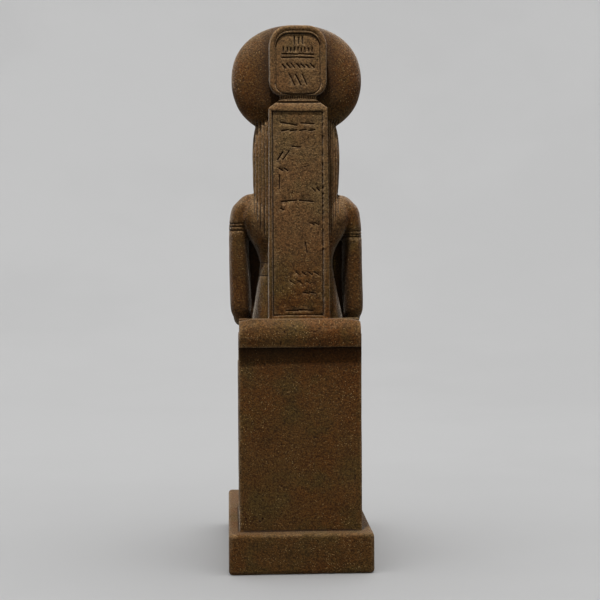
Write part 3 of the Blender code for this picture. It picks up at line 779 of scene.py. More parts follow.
def rounded_distance(x, z, half_width, half_height, high_corner, low_corner):
    """Distance out of an upright rectangle with round corners, negative inside it."""
    corner = np.where(z > 0, high_corner, low_corner)
    a = np.abs(x) - (half_width - corner)
    b = np.abs(z) - (half_height - corner)
    outside = np.hypot(np.maximum(a, 0), np.maximum(b, 0))
    return outside + np.minimum(np.maximum(a, b), 0) - corner


def stroke_depth(x, z, fray, strokes):
    """The depth of a set of straight strokes, each from one point to another, at points of a face."""
    depth = np.zeros(len(x))
    for x0, z0, x1, z1, width, deep in strokes:
        along_x, along_z = x1 - x0, z1 - z0
        length = along_x**2 + along_z**2
        t = np.clip(((x - x0) * along_x + (z - z0) * along_z) / length, 0, 1)
        distance = np.hypot(x - x0 - t * along_x, z - z0 - t * along_z) + fray
        depth = np.maximum(depth, deep * chisel(distance, width))
    return depth


def strokes_of(rows, base, upward, seed):
    """Strokes side by side in rows, all of a row leaning one way, cut by an unsteady hand."""
    draw = np.random.default_rng(seed)
    made = []
    for distance, middle_x, count, pitch, length, lean, deep in rows:
        for k in range(count):
            x = middle_x + (k - (count - 1) / 2) * pitch + draw.uniform(-0.35, 0.35) * MM
            z = base + upward * distance + draw.uniform(-0.3, 0.3) * MM
            angle = math.radians(lean + draw.uniform(-6, 6))
            half = length / 2 * draw.uniform(0.85, 1.08)
            dx, dz = half * math.sin(angle), half * math.cos(angle)
            made.append((x - dx, z - dz, x + dx, z + dz, 2.1 * MM, deep * MM * draw.uniform(0.8, 1.1)))
    return made


def carve_pillar(place, facing):
    """The pillar's sunk field in its borders, the lines along them, its slanting head and its strokes."""
    x, y, z = place.T
    half = PILLAR_WIDTH / 2
    near = (np.abs(x) < half + MM) & (y > PILLAR_REAR - 2.5 * MM)
    chosen = np.nonzero(near & (z > BACKREST_TOP - MM) & (z < PILLAR_TOP + MM))[0]
    spot = place[chosen]
    x, _, z = spot.T
    fray = 0.18 * MM * lumps(spot, 0.0045, 21)
    low = BACKREST_TOP + FIELD_FOOT
    high = PILLAR_TOP - FIELD_HEAD
    inside = np.minimum(FIELD_WIDTH / 2 - np.abs(x - FIELD_ASIDE), np.minimum(z - low, high - z)) + fray
    depth = BORDER_RAISED * soft(inside / (0.8 * MM) + 0.5)
    dotted = soft(0.55 + 0.75 * lumps(spot * np.array([0.2, 0.2, 1.0]), 0.0026, 22) + 6 * (x > 0))
    broken = np.where(z > BACKREST_TOP + 0.075, dotted, 1.0)
    upright_line = np.abs(x) > FIELD_WIDTH / 2 - 4 * MM
    line_width = np.where(upright_line, 2.4, 1.7) * MM
    depth += MM * chisel(inside - 0.2 * MM, line_width) * np.where(upright_line, 1.5 * broken, 0.6)
    ridge = soft(0.6 + 0.9 * lumps(spot, 0.019, 23)) * (x > 0) + 0.4 * soft(lumps(spot, 0.015, 24)) * (x < 0)
    below_shoulder = z < PILLAR_TOP - PILLAR_SHOULDER
    depth += 0.5 * MM * chisel(np.abs(x) - (half - 2.9 * MM), 1.3 * MM) * ridge * below_shoulder
    strokes = strokes_of(PILLAR_ROWS, BACKREST_TOP, 1, 11)
    depth += np.where(inside > 1.2 * MM, stroke_depth(x, z, fray, strokes), 0)
    down, deep = np.array(PILLAR_HEAD).T
    depth = np.maximum(depth, MM * np.interp((PILLAR_TOP - z) / MM, down, deep) + fray)
    place[chosen, 1] -= np.maximum(depth, 0)


def carve_ring(place, facing):
    """The ring's round band, its sunk inside with strokes, the deep line at its foot and the fluted tie."""
    x, y, z = place.T
    near = (y > PILLAR_REAR - 3 * MM) & (np.abs(x) < RING_WIDTH / 2 + MM)
    chosen = np.nonzero(near & (z > RING_BOTTOM - MM))[0]
    spot = place[chosen]
    x, _, z = spot.T
    fray = 0.18 * MM * lumps(spot, 0.005, 31)
    half_width, half_height = RING_WIDTH / 2, RING_HEIGHT / 2
    outer = -rounded_distance(x, z - RING_MIDDLE, half_width, half_height, RING_CORNER, RING_FOOT_CORNER)
    inner_low, inner_high = RING_BOTTOM + RING_FOOT, RING_BOTTOM + RING_HEIGHT - RING_BROW
    inner_middle, inner_half = (inner_low + inner_high) / 2, (inner_high - inner_low) / 2
    corners = (RING_CORNER - RING_BAND, RING_FOOT_CORNER - RING_BAND / 2)
    past = fray - rounded_distance(x, z - inner_middle, half_width - RING_BAND, inner_half, *corners)
    share = np.clip((outer + fray) / RING_BAND, 0, 1)
    depth = 1.4 * MM * np.abs(2 * share - 1) ** 2.4 * (outer < RING_BAND)
    depth = np.maximum(depth, 1.4 * MM * soft(past / (0.9 * MM) + 0.4))
    depth -= 0.5 * MM * soft((past - 1.6 * MM) / (5 * MM))
    top_line = soft((z - inner_high + 6 * MM) / (3 * MM))
    dots = soft(0.35 + 1.1 * lumps(spot * np.array([0.2, 0.2, 1.0]), 0.0028, 32))
    depth += MM * (0.5 + 0.9 * top_line + 0.6 * dots) * chisel(past - 0.5 * MM, 1.8 * MM)
    strokes = strokes_of(RING_ROWS, RING_BOTTOM + RING_HEIGHT, -1, 5)
    depth += np.where(past > 1.8 * MM, stroke_depth(x, z, fray, strokes), 0)
    groove_half = TIE_WIDTH / 2 - 0.5 * MM
    sag = RING_BOTTOM + (0.8 + 1.5 * np.clip(np.abs(x) / groove_half, 0, 1) ** 2) * MM
    depth += 2.6 * MM * chisel(z - sag, 2.3 * MM) * soft((groove_half - np.abs(x)) / MM)
    place[chosen, 1] -= np.maximum(depth, 0)
    x, y, z = place.T
    flutes = (
        (y > PILLAR_REAR - TIE_SUNK - 2 * MM) & (np.abs(x) < TIE_WIDTH / 2 - MM)
        & (z > PILLAR_TOP - 0.2 * MM) & (z < RING_BOTTOM)
    )
    place[flutes, 1] -= 0.8 * MM * (0.5 - 0.5 * np.cos(x[flutes] / (2.4 * MM) * math.tau))


def carve_arms(place, facing):
    """Three lines for the armlet on each upper arm, a bracelet on each wrist, and the fingers."""
    x, forward, up = figure_units(place)
    for side, lines in ARMLETS:
        _, skin = on_form(side * x, forward, up, UPPER_ARM, 2.2)
        outside = skin & (side * x > 51)
        tilt = up + 0.03 * (side * x - 62) + 0.4 * lumps(place, 0.012, 41)
        depth = sum(0.9 * UNIT * chisel(tilt - line, 1.9) for line in lines)
        sink(place, facing, outside, depth * (0.65 + 0.5 * lumps(place, 0.008, 42)))
    wrist = (np.abs(x) > 24) & (np.abs(x) < 52) & (up > 43) & (up < 62) & (forward > 100) & (forward < 122)
    depth = sum(0.8 * UNIT * cut(forward - line, 1.8) for line in (107, 113.5))
    sink(place, facing, wrist, depth)
    across = np.abs(x) - (33.5 - 0.148 * (forward - 128))
    hand = (forward > 146) & (forward < 178) & (np.abs(across) < 9) & (up > 37) & (up < 52)
    fade = soft((forward - 146) / 6)
    depth = sum(1.3 * UNIT * fade * cut(across - line, 2.2) for line in (-4.9, 0.2, 5.2))
    sink(place, facing, hand & (facing[:, 2] > 0.1), depth)


def carve_dress(place, facing):
    """The dress's upper band round the trunk, its hem, the broad collar and the navel."""
    x, forward, up = figure_units(place)
    _, skin = on_form(x, forward, up, TRUNK, 2.0)
    waver = 0.5 * lumps(place, 0.015, 43)
    for side, lines in DRESS_BANDS:
        depth = sum(0.45 * UNIT * cut(up - line + waver, 2.4) for line in lines)
        sink(place, facing, skin & (side * x > 0) & (forward < 40), depth)
    reach = np.hypot(x, 1.15 * (up - 212))
    collar = skin & (forward > 48) & (up > 150) & (up < 196)
    sink(place, facing, collar, sum(0.6 * UNIT * cut(reach - r, 1.8) for r in (28, 34, 40, 46)))
    sink(place, facing, skin & (forward > 50), 1.6 * UNIT * cut(np.hypot(x, up - 84), 5.5))
    hem = (0.105 * SHIN_LENGTH - SEAT_HEIGHT) / UNIT + 5
    sink(place, facing, (forward > THRONE_REACH + 1) & (up < hem + 4), 0.6 * UNIT * cut(up - hem, 1.8))


def carve_face(place, facing):
    """Rimmed eyes, nostrils, mouth, whisker lines and the cobra's hood."""
    x, forward, up = figure_units(place)
    wide = np.abs(x)
    front = facing[:, 1] < -0.15
    zone = front & (up > 205) & (up < 285) & (forward > 60)
    tilt = math.radians(9)
    along = (wide - EYE_ASIDE) * math.cos(tilt) + (up - EYE_UP) * math.sin(tilt)
    across = -(wide - EYE_ASIDE) * math.sin(tilt) + (up - EYE_UP) * math.cos(tilt)
    lid = 3.9 * (1 - np.clip(np.abs(along) / 8.2, 0, 1) ** 2)
    gap = np.abs(across) - lid
    near_eye = zone & (np.abs(along) < 9.5) & (forward > 70)
    depth = UNIT * (0.9 * cut(gap + 0.5, 1.9) - 0.8 * cut(gap - 0.9, 2.2))
    sink(place, facing, near_eye, depth)
    nose = zone & (forward > 98)
    sink(place, facing, nose, 1.5 * UNIT * cut(np.hypot(wide - 4.6, 1.3 * (up - 234.6)), 4.4))
    sink(place, facing, nose & (up < 233), 0.9 * UNIT * cut(x, 1.9) * soft((up - 223) / 2))
    lips = np.where(wide < 12, 224.2 - 2.4 * np.sin(math.pi * wide / 12), 224.2 + 0.55 * (wide - 12))
    mouth = (forward > 80) & (up > 215) & (up < 232) & (wide < 18)
    sink(place, facing, mouth, 1.3 * UNIT * cut(up - lips, 2.2))
    pads = (forward > 84) & (wide > 4.5) & (wide < 18) & (up > 224) & (up < 238)
    lines = sum(cut(up - (233.5 - 2.9 * k - 0.2 * (wide - 5)), 1.5) for k in range(3))
    sink(place, facing, pads, 0.5 * UNIT * lines)
    hood = front & (up > 276) & (up < 300) & (wide < 9) & (forward > 62)
    ribs = 0.45 * (0.5 - 0.5 * np.cos(up * math.tau / 3.2)) * (wide < 3)
    sink(place, facing, hood, UNIT * (ribs + 0.5 * cut(wide - 3.6, 1.5)))


def carve_throne(place, facing):
    """A framed panel sunk in each side of the throne, with two small ones under it."""
    x, y, z = place.T
    wide = np.abs(x)
    where = (np.abs(facing[:, 0]) > 0.7) & (z < SEAT_Z) & (z > PLINTH_HEIGHT)
    where &= (wide > THRONE_WIDTH / 2 - 2 * MM) & (wide < THRONE_WIDTH / 2 + MM)
    low, high = PLINTH_HEIGHT + PANEL_BORDER, SEAT_Z - PANEL_BORDER
    small = (high - low) * LOW_PANEL_SHARE
    front, rear = THRONE_FRONT + PANEL_BORDER, THRONE_REAR - PANEL_BORDER
    panels = [
        (front, rear, low + small + PANEL_BORDER / 2, high),
        (front, rear - small - PANEL_BORDER / 2, low, low + small),
        (rear - small, rear, low, low + small),
    ]
    depth = np.zeros(len(x))
    for y0, y1, z0, z1 in panels:
        inside = np.minimum(np.minimum(y - y0, y1 - y), np.minimum(z - z0, z1 - z))
        depth += PANEL_SUNK * soft(inside / MM + 0.5) + 0.5 * MM * cut(inside - 0.8 * MM, 2 * MM)
        for step in (5 * MM, 7.5 * MM):
            depth += 0.5 * MM * cut(inside - step, 1.6 * MM)
    sink(place, facing, where, depth)


def chipped_edges():
    """The edges that have lost chips: start, end, the way the edge points, how many, and size in mm."""
    wide, throne_half, pillar_half = PLINTH_WIDTH / 2, THRONE_WIDTH / 2, PILLAR_WIDTH / 2
    roll_rear = THRONE_REAR + ROLL_OVERHANG
    back, front, high = PLINTH_REAR, -PLINTH_REAR, PLINTH_HEIGHT
    edges = [
        ((-wide, back, 0), (wide, back, 0), (0, 1, -1), 12, 1.9),
        ((-wide, back, high), (wide, back, high), (0, 1, 1), 9, 1.4),
        ((-wide, front, high), (wide, front, high), (0, -1, 1), 7, 2.0),
        ((-wide, front, 0), (wide, front, 0), (0, -1, -1), 7, 2.2),
        ((-throne_half, roll_rear, ROLL_FOOT), (throne_half, roll_rear, ROLL_FOOT), (0, 1, -1), 12, 1.3),
    ]
    for side in (1, -1):
        x, throne_x, pillar_x = side * wide, side * throne_half, side * pillar_half
        edges += [
            ((x, front, high), (x, back, high), (side, 0, 1), 10, 1.9),
            ((x, front, 0), (x, back, 0), (side, 0, -1), 8, 2.0),
            ((x, back, 0), (x, back, high), (side, 1, 0), 4, 1.9),
            ((throne_x, THRONE_REAR, high), (throne_x, THRONE_REAR, SEAT_Z), (side, 1, 0), 9, 1.2),
            ((throne_x, THRONE_FRONT, high), (throne_x, THRONE_FRONT, SEAT_Z), (side, -1, 0), 7, 1.6),
            (
                (pillar_x, PILLAR_REAR, BACKREST_TOP), (pillar_x, PILLAR_REAR, PILLAR_TOP),
                (side, 1, 0), 18, 1.0,
            ),
        ]
    return edges


def knock_chips(place):
    """Chips knocked out of the edges: a ball's worth of stone gone at each."""
    draw = np.random.default_rng(77)
    for start, end, outward, count, size in chipped_edges():
        start, end = np.array(start), np.array(end)
        outward = np.array(outward) / np.linalg.norm(outward)
        for _ in range(count):
            radius = size * MM * draw.uniform(0.5, 1.5)
            centre = start + (end - start) * draw.uniform(0.02, 0.98)
            centre = centre + outward * radius * draw.uniform(0.2, 0.7)
            bitten(place, centre, radius, np.array([draw.uniform(0.8, 2.2), 1, draw.uniform(0.7, 1.3)]))
    roll_end = np.array([-THRONE_WIDTH / 2 - MM, THRONE_REAR + ROLL_OVERHANG, ROLL_FOOT])
    bitten(place, roll_end, 3.2 * MM, np.array([1, 1.6, 0.8]))


def round_roll(place, facing):
    """The roll's back, rubbed rounder, and its top, rubbed down towards its two ends."""
    x, y, z = place.T
    share = np.clip((np.abs(x) - ROLL_FLAT / 2) / ((THRONE_WIDTH - ROLL_FLAT) / 2), 0, 1)
    height = np.clip((z - ROLL_FOOT) / ROLL_HEIGHT, 0, 1)
    on_roll = (y > FIGURE_BACK + 2 * MM) & (z > ROLL_FOOT - MM) & (z < BACKREST_TOP + MM)
    out = soft((y - THRONE_REAR + 4 * MM) / (ROLL_OVERHANG + 2 * MM))
    inward = ROLL_ROUNDED * (soft((height - 0.45) / 0.55) + 0.55 * soft((0.4 - height) / 0.4)) * out
    place[on_roll, 1] -= inward[on_roll]
    place[on_roll, 2] -= (ROLL_WORN * share**2 * height**2)[on_roll]


def lean(place, facing):
    """The arms, shoulders and wig, a little towards the figure's left, where the carver left them."""
    x, _, z = place.T
    outer = soft((np.abs(x) - 33.5 * MM) / (9 * MM))
    level, aside, raised = np.array(LEAN).T
    place[:, 0] += outer * np.interp(z, level, aside) * MM
    place[:, 2] += outer * np.interp(z, level, raised) * (x > 0) * MM


def bitten(place, centre, radius, stretch):
    """Pushes the points inside a stretched ball out to its surface."""
    close = np.nonzero(np.all(np.abs(place - centre) < radius * 2.5, axis=1))[0]
    offset = (place[close] - centre) / stretch
    length = np.linalg.norm(offset, axis=1)
    inner = (length < radius) & (length > 1e-9)
    offset[inner] *= (radius / length[inner])[:, None]
    place[close[inner]] = centre + (offset * stretch)[inner]


def weather(place, facing):
    """The slow waver of a hand-cut surface, and the few pits that weather leaves."""
    _, forward, up = figure_units(place)
    face = soft((forward - 62) / 6) * soft((up - 200) / 10)
    wave = 0.32 * lumps(place, 0.026, 51) + 0.14 * lumps(place, 0.010, 52)
    pits = soft((lumps(place, 0.0035, 54) - 0.66) / 0.25) * 0.40
    depth = (wave + pits) * (1 - 0.65 * face) * MM
    underside = place[:, 2] < 0.6 * MM
    sink(place, facing, ~underside, np.maximum(depth, 0.02 * MM))


def carve(stone):
    """Everything that the chisel and the years did to the plain forms.

    Each step is given the points' places, which it changes, and the ways the points face.
    """
    mesh = stone.data
    edges = read_edges(mesh)
    place = read_points(mesh)
    ground = place[:, 2] < 0.4 * MM
    rough = 0.5 + 0.5 * lumps(place, 0.03, 61)
    up = (place[:, 2] - SEAT_Z) / UNIT
    blocks = (np.abs(place[:, 1]) > PILLAR_REAR - 4 * MM) | (place[:, 2] < SEAT_Z) | (up > 290)
    weight = np.where(blocks, 0.3 + 0.5 * rough, 0.3)
    weight[ground & (read_points(mesh, "normal")[:, 2] < -0.9)] = 0
    worn(place, edges, weight, 5)
    write_points(mesh, place)
    steps = (
        weather, round_roll, carve_hair, carve_arms, carve_dress, carve_face, carve_throne, carve_ring,
        carve_pillar, lean,
    )
    for step in steps:
        step(place, read_points(mesh, "normal"))
        write_points(mesh, place)
    knock_chips(place)
    worn(place, edges, np.where(ground, 0.0, 0.25), 1)
    place[:, 2] = np.where(ground, np.maximum(place[:, 2], 0), place[:, 2])
    write_points(mesh, place)
    mark_hollows(mesh, place, edges)


def mark_hollows(mesh, place, edges):
    """Keeps on the mesh how far each point lies below the skin round it, near by and further off, and the
    painted shade and rubbing of each point, for the material.
    """
    facing = read_points(mesh, "normal")
    smoothed = place.copy()
    whole = np.ones(len(place))
    done = 0
    for name, rounds, full in (("fine_hollow", 5, 0.16 * MM), ("wide_hollow", 30, 0.60 * MM)):
        worn(smoothed, edges, whole, rounds - done)
        done = rounds
        below = np.einsum("ij,ij->i", smoothed - place, facing) / full
        keep_value(mesh, name, np.clip(below, -1, 1))
    # Painted shade in sheltered places, and below 0 the rubbing of handled ones
    keep_value(mesh, "painted_shade_and_rubbing", shade_and_rubbing_at(place))


def keep_value(mesh, name, values):
    """Keeps a value for each point on the mesh, for the material to read."""
    mesh.attributes.new(name, "FLOAT", "POINT").data.foreach_set("value", values.astype(np.float32))


def shade_and_rubbing_at(place):
    """Painted shade at each point where shade falls: beside the ring, under the roll and behind the arms.

    Below 0 it says how much hands have rubbed the pillar, the ring and the hair beside them.
    """
    x, y, z = place.T
    # Painted shade on the disc beside the ring panel, painted shadow under the roll, and painted shade
    # behind the arms
    corners = (RING_CORNER, RING_FOOT_CORNER)
    from_ring = rounded_distance(x, z - RING_MIDDLE, RING_WIDTH / 2, RING_HEIGHT / 2, *corners)
    on_disc = (z > PILLAR_TOP - 25 * MM) & (y < PILLAR_REAR - 4 * MM) & (y > DISC_Y)
    beside_ring = np.exp(-np.maximum(from_ring, 0) / (15 * MM)) * on_disc
    on_throne = (z < ROLL_FOOT) & (y > THRONE_REAR - 3 * MM)
    under_roll = np.exp(-np.maximum(ROLL_FOOT - z, 0) / (20 * MM)) * on_throne
    wide, forward, up = figure_units(place)
    wide = np.abs(wide)
    behind_arm = soft((wide - 40) / 6) * soft((66 - wide) / 16) * soft((up - 40) / 6) * soft((160 - up) / 12)
    painted_shade_and_rubbing = np.maximum(beside_ring, np.maximum(under_roll, behind_arm * (forward < 60) * (forward > 4)))
    handled = soft((z - BACKREST_TOP - 10 * MM) / (120 * MM)) * (y > PILLAR_REAR - 6 * MM)
    hair = (wide > 33.6) * (wide < 52) * (forward < 45) * soft((up - 136) / 12) * soft((HAIR_HEAD - up) / 12)
    handled = np.maximum(handled, 0.85 * hair)
    return np.where(handled > 0, -handled, painted_shade_and_rubbing)


def thinned(obj, triangles):
    """The mesh with fewer faces where it is flat."""
    thin = obj.modifiers.new("fewer_faces", "DECIMATE")
    now = sum(len(face.vertices) - 2 for face in obj.data.polygons)
    thin.ratio = triangles / now
    return applied(obj)


def statue():
    """The whole statue as one carved skin."""
    figure = torso() + legs() + arm(1) + arm(-1)
    pieces = [
        one_skin("figure", figure, BODY_VOXEL, 6), one_skin("head", head() + cobra(), HEAD_VOXEL, 4),
        ruff(), sun_disc(), *wig(), *throne(), *pillar(),
    ]
    stone = one_skin("sandstone_statue", pieces, STONE_VOXEL, 0)
    finer_where_carved(stone)
    carve(stone)
    thinned(stone, STONE_TRIANGLES)
    stone.data.shade_smooth()
    return stone


def add_node(tree, kind, inputs=None, **settings):
    """A node with its settings made, and its inputs linked to sockets or filled with values."""
    made = tree.nodes.new(kind)
    for name, value in settings.items():
        setattr(made, name, value)
    for name, value in (inputs or {}).items():
        if isinstance(value, bpy.types.NodeSocket):
            tree.links.new(value, made.inputs[name])
        else:
            made.inputs[name].default_value = value
    return made


def calculated(tree, operation, first, second=0.0, clamp=False):
    """A Math node's result."""
    made = add_node(tree, "ShaderNodeMath", {0: first, 1: second}, operation=operation, use_clamp=clamp)
    return made.outputs[0]


def mixed(tree, share, first, second, blend="MIX"):
    """One colour run into another by a share."""
    inputs = {0: share, 6: first, 7: second}
    return add_node(tree, "ShaderNodeMix", inputs, data_type="RGBA", blend_type=blend).outputs[2]


def stepped(tree, value, low, high, to_low=0.0, to_high=1.0):
    """A value turned smoothly from one range into another."""
    inputs = {"Value": value, "From Min": low, "From Max": high, "To Min": to_low, "To Max": to_high}
    made = add_node(tree, "ShaderNodeMapRange", inputs, interpolation_type="SMOOTHSTEP")
    return made.outputs["Result"]


def grey(tree, value):
    """A value as a colour."""
    return add_node(tree, "ShaderNodeCombineColor", {0: value, 1: value, 2: value}).outputs[0]


def cloudy(tree, vector, scale, detail=3.0, roughness=0.55, shift=0.0):
    """Soft noise from 0 to 1, shifted so that no two of its uses look alike."""
    moved = add_node(tree, "ShaderNodeVectorMath", {0: vector, 1: (shift, shift, shift)}, operation="ADD")
    inputs = {"Vector": moved.outputs[0], "Scale": scale, "Detail": detail, "Roughness": roughness}
    return add_node(tree, "ShaderNodeTexNoise", inputs).outputs["Fac"]


def new_group(name, inputs, outputs):
    """An empty node group with named sockets. Each input comes with its own value to begin with."""
    group = bpy.data.node_groups.new(name, "ShaderNodeTree")
    for label, kind, value in inputs:
        made = group.interface.new_socket(label, in_out="INPUT", socket_type=kind)
        if value is not None:
            made.default_value = value
    for label, kind in outputs:
        group.interface.new_socket(label, in_out="OUTPUT", socket_type=kind)
    return group, group.nodes.new("NodeGroupInput").outputs, group.nodes.new("NodeGroupOutput").inputs


def sand_grain():
    """Grains of one size: their tone, the pale ones among them, and how they stand up."""
    inputs = [("Vector", "NodeSocketVector", None), ("Grains per metre", "NodeSocketFloat", 900.0)]
    outputs = [("Tone", "NodeSocketFloat"), ("Pale", "NodeSocketFloat"), ("Height", "NodeSocketFloat")]
    group, given, made = new_group("sand_grain", inputs, outputs)
    cells = add_node(group, "ShaderNodeTexVoronoi", {"Vector": given[0], "Scale": given[1]})
    parts = add_node(group, "ShaderNodeSeparateColor", {"Color": cells.outputs["Color"]})
    fine = cloudy(group, given[0], calculated(group, "MULTIPLY", given[1], 0.5), detail=2.0, roughness=0.7)
    fine = stepped(group, fine, 0.3, 0.7)
    tone = calculated(group, "MULTIPLY", calculated(group, "ADD", parts.outputs[0], fine), 0.5)
    heart = stepped(group, cells.outputs["Distance"], 0.55, 0.25)
    pale = calculated(group, "MULTIPLY", stepped(group, parts.outputs[1], 0.88, 0.96), heart)
    rim = calculated(group, "MULTIPLY", cells.outputs["Distance"], 0.6)
    height = calculated(group, "SUBTRACT", tone, rim)
    for socket, value in zip(made, (tone, pale, height)):
        group.links.new(value, socket)
    return group


def stone_clouds():
    """Broad patches that drift over a surface, and smaller ones that break them up."""
    inputs = [("Vector", "NodeSocketVector", None), ("Patches per metre", "NodeSocketFloat", 12.0)]
    outputs = [("Broad", "NodeSocketFloat"), ("Small", "NodeSocketFloat")]
    group, given, made = new_group("stone_clouds", inputs, outputs)
    broad = cloudy(group, given[0], given[1], detail=4.0, roughness=0.6, shift=0.31)
    finer = calculated(group, "MULTIPLY", given[1], 6.0)
    small = cloudy(group, given[0], finer, detail=5.0, roughness=0.65, shift=0.77)
    group.links.new(stepped(group, broad, 0.32, 0.68), made[0])
    group.links.new(stepped(group, small, 0.32, 0.68), made[1])
    return group


# The stone's colours; its darkest is painted shade in its hollows, and its dust partly painted top light
STONE_BROWN = (0.0410, 0.0193, 0.0046, 1)
STONE_RED = (0.0460, 0.0168, 0.0037, 1)
STONE_OLIVE = (0.0350, 0.0212, 0.0055, 1)
STONE_DARK = (0.0170, 0.0081, 0.0021, 1)
STONE_SHADE_AND_GRIME = (0.006, 0.0026, 0.0010, 1)
STONE_RUBBED = (0.098, 0.0610, 0.0290, 1)
STONE_DUST_AND_TOP_LIGHT = (0.082, 0.0560, 0.0330, 1)
PALE_GRAIN = (0.250, 0.1650, 0.0700, 1)

# How the stone shines: hardly at all, but for the pale bloom of dust towards its rims
STONE_SHINE = {
    "Specular IOR Level": 0.05,
    "Sheen Weight": 0.20,
    "Sheen Roughness": 0.3,
    "Sheen Tint": (1.0, 0.86, 0.70, 1),
}


def sandstone():
    """Brown sandstone: cloudy, grainy, dusty above and on its ridges, with painted top light above, and near
    black with painted shade in its grooves and sheltered places.
    """
    material = bpy.data.materials.new("sandstone")
    material.use_nodes = True
    tree = material.node_tree
    shader = tree.nodes["Principled BSDF"]
    spot = add_node(tree, "ShaderNodeTexCoord").outputs["Object"]
    grain = add_node(tree, "ShaderNodeGroup", node_tree=sand_grain())
    clouds = add_node(tree, "ShaderNodeGroup", node_tree=stone_clouds())
    for group in (grain, clouds):
        tree.links.new(spot, group.inputs["Vector"])
    tone, pale, height = grain.outputs
    broad, small = clouds.outputs
    fine = add_node(tree, "ShaderNodeAttribute", attribute_name="fine_hollow").outputs["Fac"]
    wide = add_node(tree, "ShaderNodeAttribute", attribute_name="wide_hollow").outputs["Fac"]
    # Painted shade in sheltered places, and below 0 the rubbing of handled ones
    painted_shade_and_rubbing = add_node(tree, "ShaderNodeAttribute", attribute_name="painted_shade_and_rubbing").outputs["Fac"]
    normal = add_node(tree, "ShaderNodeNewGeometry").outputs["Normal"]
    upward = add_node(tree, "ShaderNodeSeparateXYZ", {0: normal}).outputs[2]
    height_up = add_node(tree, "ShaderNodeSeparateXYZ", {0: spot}).outputs[2]

    colour = mixed(tree, broad, STONE_BROWN, STONE_RED)
    olive = stepped(tree, cloudy(tree, spot, 26.0, detail=4.0, shift=1.9), 0.45, 0.68, 0.0, 0.8)
    colour = mixed(tree, olive, colour, STONE_OLIVE)
    blotches = cloudy(tree, spot, 48.0, detail=5.0, roughness=0.7, shift=3.3)
    dark = stepped(tree, blotches, 0.50, 0.75, 0.0, 0.45)
    colour = mixed(tree, dark, colour, STONE_DARK)
    # Paler and greyer on upward faces, more so higher up: dust, and painted top light from above
    dust_and_top_light = calculated(tree, "MULTIPLY", stepped(tree, upward, -0.05, 0.9), stepped(tree, small, -0.4, 1.0))
    dust_and_top_light = calculated(tree, "MULTIPLY", dust_and_top_light, stepped(tree, height_up, 0.2, 0.42, 0.08, 0.5))
    colour = mixed(tree, dust_and_top_light, colour, STONE_DUST_AND_TOP_LIGHT)
    handled = stepped(tree, painted_shade_and_rubbing, 0.0, -1.0, 0.0, 0.28)
    colour = mixed(tree, handled, colour, STONE_RUBBED)
    ridge = calculated(tree, "ADD", stepped(tree, fine, -0.15, -0.9), stepped(tree, wide, -0.15, -0.9))
    ridge = calculated(tree, "MULTIPLY", ridge, stepped(tree, small, -0.2, 1.0), clamp=True)
    colour = mixed(tree, calculated(tree, "MULTIPLY", ridge, 0.42), colour, STONE_RUBBED)
    colour = mixed(tree, 1.0, colour, grey(tree, stepped(tree, tone, 0.15, 0.85, 0.55, 1.5)), "MULTIPLY")
    patchy = stepped(tree, cloudy(tree, spot, 90.0, shift=5.1), 0.35, 0.65, 0.15, 0.8)
    colour = mixed(tree, calculated(tree, "MULTIPLY", pale, patchy), colour, PALE_GRAIN)
    # Near black in the hollows and sheltered places: painted shade, with some dirt in the hollows
    crevice_shade = calculated(tree, "MULTIPLY", stepped(tree, wide, 0.15, 0.9), 0.8)
    shade_and_grime = calculated(tree, "MAXIMUM", stepped(tree, fine, 0.12, 0.75), crevice_shade)
    shade_and_grime = calculated(tree, "MAXIMUM", shade_and_grime, stepped(tree, painted_shade_and_rubbing, 0.0, 1.0, 0.0, 0.85))
    colour = mixed(tree, calculated(tree, "MULTIPLY", shade_and_grime, 0.85), colour, STONE_SHADE_AND_GRIME)
    tree.links.new(colour, shader.inputs["Base Color"])

    matt = stepped(tree, calculated(tree, "ADD", tone, broad), 0.3, 1.7, 0.68, 0.92)
    tree.links.new(matt, shader.inputs["Roughness"])
    for name, value in STONE_SHINE.items():
        shader.inputs[name].default_value = value
    pitted = cloudy(tree, spot, 380.0, detail=4.0, roughness=0.7, shift=7.7)
    grains_stand = calculated(tree, "MULTIPLY", height, 0.6)
    pits_sink = calculated(tree, "MULTIPLY", pitted, 1.6)
    relief = calculated(tree, "ADD", grains_stand, pits_sink)
    bump = add_node(tree, "ShaderNodeBump", {"Strength": 0.7, "Distance": 0.0009, "Height": relief})
    tree.links.new(bump.outputs["Normal"], shader.inputs["Normal"])
    return material


# The studio: its grey, its flat floor's radius and the bowl's in metres, how far the bowl curves up in
# degrees, and the steps up it and the sides round it
STUDIO_GREY = 0.62
FLOOR_RADIUS = 1.3
BOWL_RADIUS = 3.0
BOWL_TURN = 75
BOWL_STEPS = 40
BOWL_SIDES = 96


def studio_paint():
    """The studio's matt grey paint, with the faintest clouding."""
    material = bpy.data.materials.new("studio_paint")
    material.use_nodes = True
    tree = material.node_tree
    shader = tree.nodes["Principled BSDF"]
    spot = add_node(tree, "ShaderNodeTexCoord").outputs["Object"]
    clouds = add_node(tree, "ShaderNodeGroup", node_tree=bpy.data.node_groups["stone_clouds"])
    clouds.inputs["Patches per metre"].default_value = 0.8
    tree.links.new(spot, clouds.inputs["Vector"])
    shade = stepped(tree, clouds.outputs["Broad"], 0.0, 1.0, STUDIO_GREY * 0.98, STUDIO_GREY * 1.02)
    tree.links.new(grey(tree, shade), shader.inputs["Base Color"])
    shader.inputs["Roughness"].default_value = 0.95
    shader.inputs["Specular IOR Level"].default_value = 0.1
    return material


